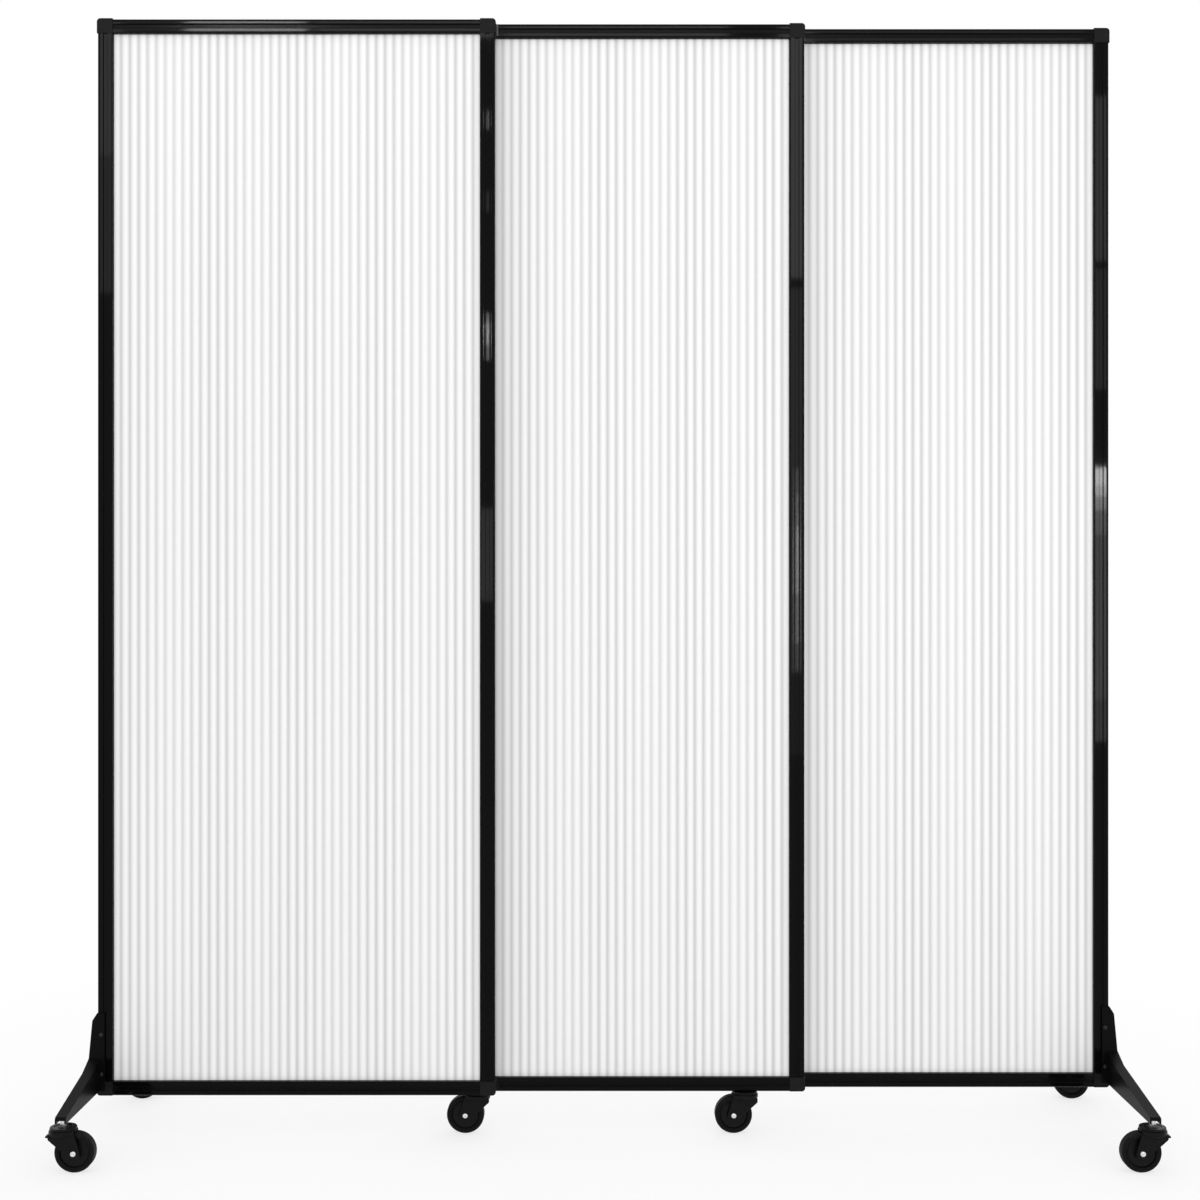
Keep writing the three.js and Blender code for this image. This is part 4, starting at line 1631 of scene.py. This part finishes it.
class Caster:
    """One swivel caster in its place."""

    def __init__(self, name: str, patterns: CasterPatterns) -> None:
        """Read the caster's place from the frame.

        Args:
            name: The caster's name.
            patterns: The pieces to copy.
        """
        self.name = name
        self.patterns = patterns
        self.wheel = centre_of(f"{name}_caster_wheel")
        self.foot = centre_of(f"{name}_caster_stem")
        self.foot.z = 0.0
        self.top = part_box(f"{name}_caster_stem")[1].z
        self.has_pedal = f"{name}_brake_pedal" in frame["nodes"]

    def make_stem(self) -> Piece:
        """Turn the stem: kingpin head, kingpin, a collar or a nut, and the thread.

        Returns:
            The stem.
        """
        s = self.patterns.sizes
        head_bottom = s.crown_bottom + s.clearance
        head_top = head_bottom + s.kingpin_head_height
        profile = [
            (0.0, head_bottom),
            (s.kingpin_head - 1.0 * MM, head_bottom),
            (s.kingpin_head, head_bottom + 1.0 * MM),
            (s.kingpin_head, head_top),
            (s.kingpin_radius, head_top),
            (s.kingpin_radius, s.raceway_bottom),
            (s.thread_radius, s.raceway_bottom),
            (s.thread_radius, s.raceway_top),
        ]
        rise = s.raceway_top + 2.0 * MM
        while rise < self.top - 1.2 * MM:
            root = (s.thread_radius - s.thread_depth, rise + 0.5 * MM)
            profile += [(s.thread_radius, rise), root, (s.thread_radius, rise + 1.0 * MM)]
            rise += s.thread_pitch
        profile += [(s.thread_radius - 0.8 * MM, self.top), (0.0, self.top)]
        piece = Bench.turned(f"{self.name}_caster_stem_turned", profile, 32, self.foot, Z_AXIS)
        if self.has_pedal:
            low, high, radius = s.raceway_top - 0.1 * MM, s.collar_top, s.collar_radius
        else:
            low, high, radius = s.stem_nut_bottom, s.stem_nut_top, s.stem_nut_radius
        start = self.foot + Vector((0.0, 0.0, low))
        nut = Bench.bar("nut", radius, start, start + Vector((0.0, 0.0, high - low)), 6)
        Bench.combine(piece, Bench.soften(nut, s.nut_edge), "UNION")
        return Bench.smooth(piece, 30.0)

    def make_raceway(self) -> Piece:
        """Press the raceway: a shallow cup about the kingpin that the fork turns under.

        Returns:
            The raceway.
        """
        s = self.patterns.sizes
        inner = s.thread_radius + 0.02 * MM
        profile = [
            (inner, s.raceway_bottom),
            (s.raceway_radius - 0.5 * MM, s.raceway_bottom),
            (s.raceway_radius, s.raceway_bottom + 0.6 * MM),
            (s.raceway_radius, s.raceway_top - 1.6 * MM),
            (s.raceway_radius - 0.6 * MM, s.raceway_top - 0.5 * MM),
            (s.raceway_radius - 1.8 * MM, s.raceway_top),
            (s.raceway_radius - 8.0 * MM, s.raceway_top),
            (s.raceway_radius - 8.8 * MM, s.raceway_top - 0.9 * MM),
            (s.raceway_radius - 14.0 * MM, s.raceway_top - 0.9 * MM),
            (s.raceway_radius - 14.8 * MM, s.raceway_top),
            (inner, s.raceway_top),
            (inner, s.raceway_bottom),
        ]
        return Bench.smooth(Bench.turned(f"{self.name}_caster_raceway", profile, 64, self.foot, Z_AXIS), 30.0)

    def make(self) -> None:
        """Make the caster's pieces."""
        name, patterns = self.name, self.patterns
        turn = math.pi if self.wheel.x > self.foot.x else 0.0
        about_kingpin = Matrix.Translation(self.foot) @ Matrix.Rotation(turn, 4, "Z")
        about_axle = Matrix.Translation(self.wheel)
        fork = patterns.braked_fork if self.has_pedal else patterns.plain_fork
        stand_in(self.make_stem(), f"{name}_caster_stem", ZINC)
        stand_in(self.make_raceway(), f"{name}_caster_stem", FORK_BLACK)
        for part, ending, pattern, placing, finish in (
            ("fork", "pressed", fork, about_kingpin, FORK_BLACK),
            ("axle", "turned", patterns.axle, about_axle, ZINC),
            ("wheel", "centre", patterns.centre, about_axle, WHEEL_PLASTIC),
        ):
            node = f"{name}_caster_{part}"
            stand_in(Bench.copy(pattern, f"{node}_{ending}", placing), node, finish)
        tyre = Bench.copy(patterns.tyre, f"{name}_caster_wheel_tyre", about_axle)
        fit(tyre, body_of(f"{name}_caster_wheel"), TYRE_RUBBER)
        if self.has_pedal:
            node = f"{name}_brake_pedal"
            sizes = patterns.sizes
            placing = about_kingpin @ Matrix.Translation((sizes.pivot_forward, 0.0, sizes.pivot_height))
            stand_in(Bench.copy(patterns.pedal, f"{node}_moulded", placing), node, PEDAL_PLASTIC)


@dataclass(frozen=True)
class SoftBox:
    """A rectangular studio light, which is as bright as its radiance wherever it is mirrored."""

    name: str
    place: Triple
    width: float
    height: float
    radiance: float
    aim: Triple | None = None

    def make(self) -> None:
        """Hang the light. It faces along +Y, or else its aim."""
        Bench.clear()
        bpy.ops.object.light_add(type="AREA", location=self.place)
        lamp = bpy.context.active_object
        lamp.name = self.name
        lamp.data.shape = "RECTANGLE"
        lamp.data.size, lamp.data.size_y = self.width, self.height
        lamp.data.energy = 4.0 * self.width * self.height * self.radiance
        way = Vector(self.aim) - Vector(self.place) if self.aim else Vector(Y_AXIS)
        lamp.rotation_euler = way.to_track_quat("-Z", "Y").to_euler()


class Studio:
    """The camera, the floor and the light.

    A strip is a light in the camera's plane, at a name, a place across, its lower and upper end and its
    radiance. The seam lines are thin and hang a little nearer the screen than the strips, which would
    hide them otherwise.
    """

    camera_place = (-0.015, -3.333, 1.074)
    lens = 49.5
    sensor = 36.0
    floor_size = 30.0
    sky = 0.9
    strip_width = 0.14
    line_width = 0.008
    line_lead = 0.02
    rail_strip_height = 3.37
    rail_strip_width = 0.1

    overhead = SoftBox("overhead", (0.0, -0.3, 4.4), 3.6, 2.0, 0.2, ORIGIN)
    behind = SoftBox("behind", (0.8, 3.8, 2.6), 2.4, 1.8, 1.0, (0.0, 0.0, 1.1))
    stile_strips = (
        ("left_upper", -1.985, (2.85, 3.4), 3.4),
        ("left_middle", -1.985, (2.3, 2.85), 1.8),
        ("left_seam_lower", -0.465, (1.07, 1.44), 2.6),
        ("right_seam_upper", 0.778, (2.37, 3.4), 4.6),
        ("right_seam_middle", 0.778, (0.78, 2.33), 2.0),
        ("right_seam_foot", 0.778, (0.45, 0.78), 0.6),
        ("right_upper", 2.02, (2.45, 3.12), 3.4),
        ("right_middle", 2.02, (1.93, 2.42), 1.9),
        ("right_peak", 2.02, (1.54, 1.612), 56.0),
        ("right_glow", 2.02, (1.495, 1.54), 40.0),
        ("right_fade", 2.02, (1.44, 1.495), 22.0),
        ("right_tail", 2.02, (1.34, 1.44), 10.5),
        ("right_lower", 2.02, (0.67, 1.34), 6.2),
        ("right_foot", 2.02, (0.5, 0.67), 4.0),
    )
    seam_lines = (
        ("left_seam_spark", -0.461, (2.95, 3.02), 22.0),
        ("left_seam_glint", -0.461, (2.62, 2.7), 5.0),
        ("left_seam_line_upper", -0.461, (2.18, 2.215), 35.0),
        ("left_seam_line", -0.461, (2.09, 2.18), 85.0),
        ("left_seam_line_lower", -0.461, (2.03, 2.09), 30.0),
        ("right_seam_line_top", 0.779, (1.5, 1.6), 14.0),
        ("right_seam_line_upper", 0.779, (1.37, 1.5), 28.0),
        ("right_seam_line", 0.779, (1.1, 1.37), 58.0),
        ("right_seam_line_lower", 0.779, (0.9, 1.1), 32.0),
        ("right_seam_line_foot", 0.779, (0.79, 0.9), 12.0),
    )
    rail_strips = (
        ("rail_left", (-1.9, -1.7), 1.6),
        ("rail_patch", (-1.67, -1.19), 28.0),
        ("rail_seam", (-1.15, -0.42), 5.0),
        ("rail_middle", (-0.4, 0.5), 5.0),
        ("rail_right", (0.8, 1.95), 2.2),
    )

    def make_strips(self) -> None:
        """Hang the narrow lights that the glossy stiles and top rails mirror to the camera."""
        depth = self.camera_place[1]
        rows = ((self.stile_strips, self.strip_width, 0.0), (self.seam_lines, self.line_width, self.line_lead))
        for strips, width, lead in rows:
            for name, across, (low, high), radiance in strips:
                SoftBox(name, (across, depth + lead, (low + high) / 2), width, high - low, radiance).make()
        for name, (left, right), radiance in self.rail_strips:
            place = ((left + right) / 2, depth, self.rail_strip_height)
            SoftBox(name, place, right - left, self.rail_strip_width, radiance).make()

    def make_camera(self) -> None:
        """Set the camera up level with the middle of the screen."""
        Bench.clear()
        bpy.ops.object.camera_add(location=self.camera_place, rotation=(math.pi / 2, 0.0, 0.0))
        camera = bpy.context.active_object
        camera.name = "camera"
        camera.data.lens = self.lens
        camera.data.sensor_width = self.sensor
        bpy.context.scene.camera = camera

    def make_floor(self) -> None:
        """Lay the floor."""
        Bench.clear()
        bpy.ops.mesh.primitive_plane_add(size=self.floor_size, location=ORIGIN)
        floor = Bench.settle("floor")
        floor.data.materials.append(StudioFloor().material())

    def make_sky(self) -> None:
        """Surround the studio with white, which the camera and reflections see at full strength."""
        world = bpy.data.worlds.new("studio")
        bpy.context.scene.world = world
        palette = Palette(world)
        strength = self.sky + (1.0 - self.sky) * palette.seen()
        palette.close(palette.node("ShaderNodeBackground", {}, {"Color": grey(1.0), "Strength": strength}))

    def make(self) -> None:
        """Make the studio."""
        self.make_camera()
        self.make_floor()
        self.make_sky()
        self.overhead.make()
        self.behind.make()
        self.make_strips()
        bpy.context.scene.view_settings.view_transform = "Standard"


def main() -> None:
    """Make the screen and the studio round it."""
    logging.basicConfig(level=logging.INFO, format="%(name)s: %(message)s")
    Studio().make()
    Panels().make()
    for end in ("left", "right"):
        for place in ("front", "rear"):
            Leg(end, place).make()
    patterns = CasterPatterns()
    for name in ("left_front", "left_rear", "right_front", "right_rear", "middle_left", "middle_right"):
        Caster(name, patterns).make()
    patterns.discard()
    Bench.clear()


if __name__ == "__main__":
    main()
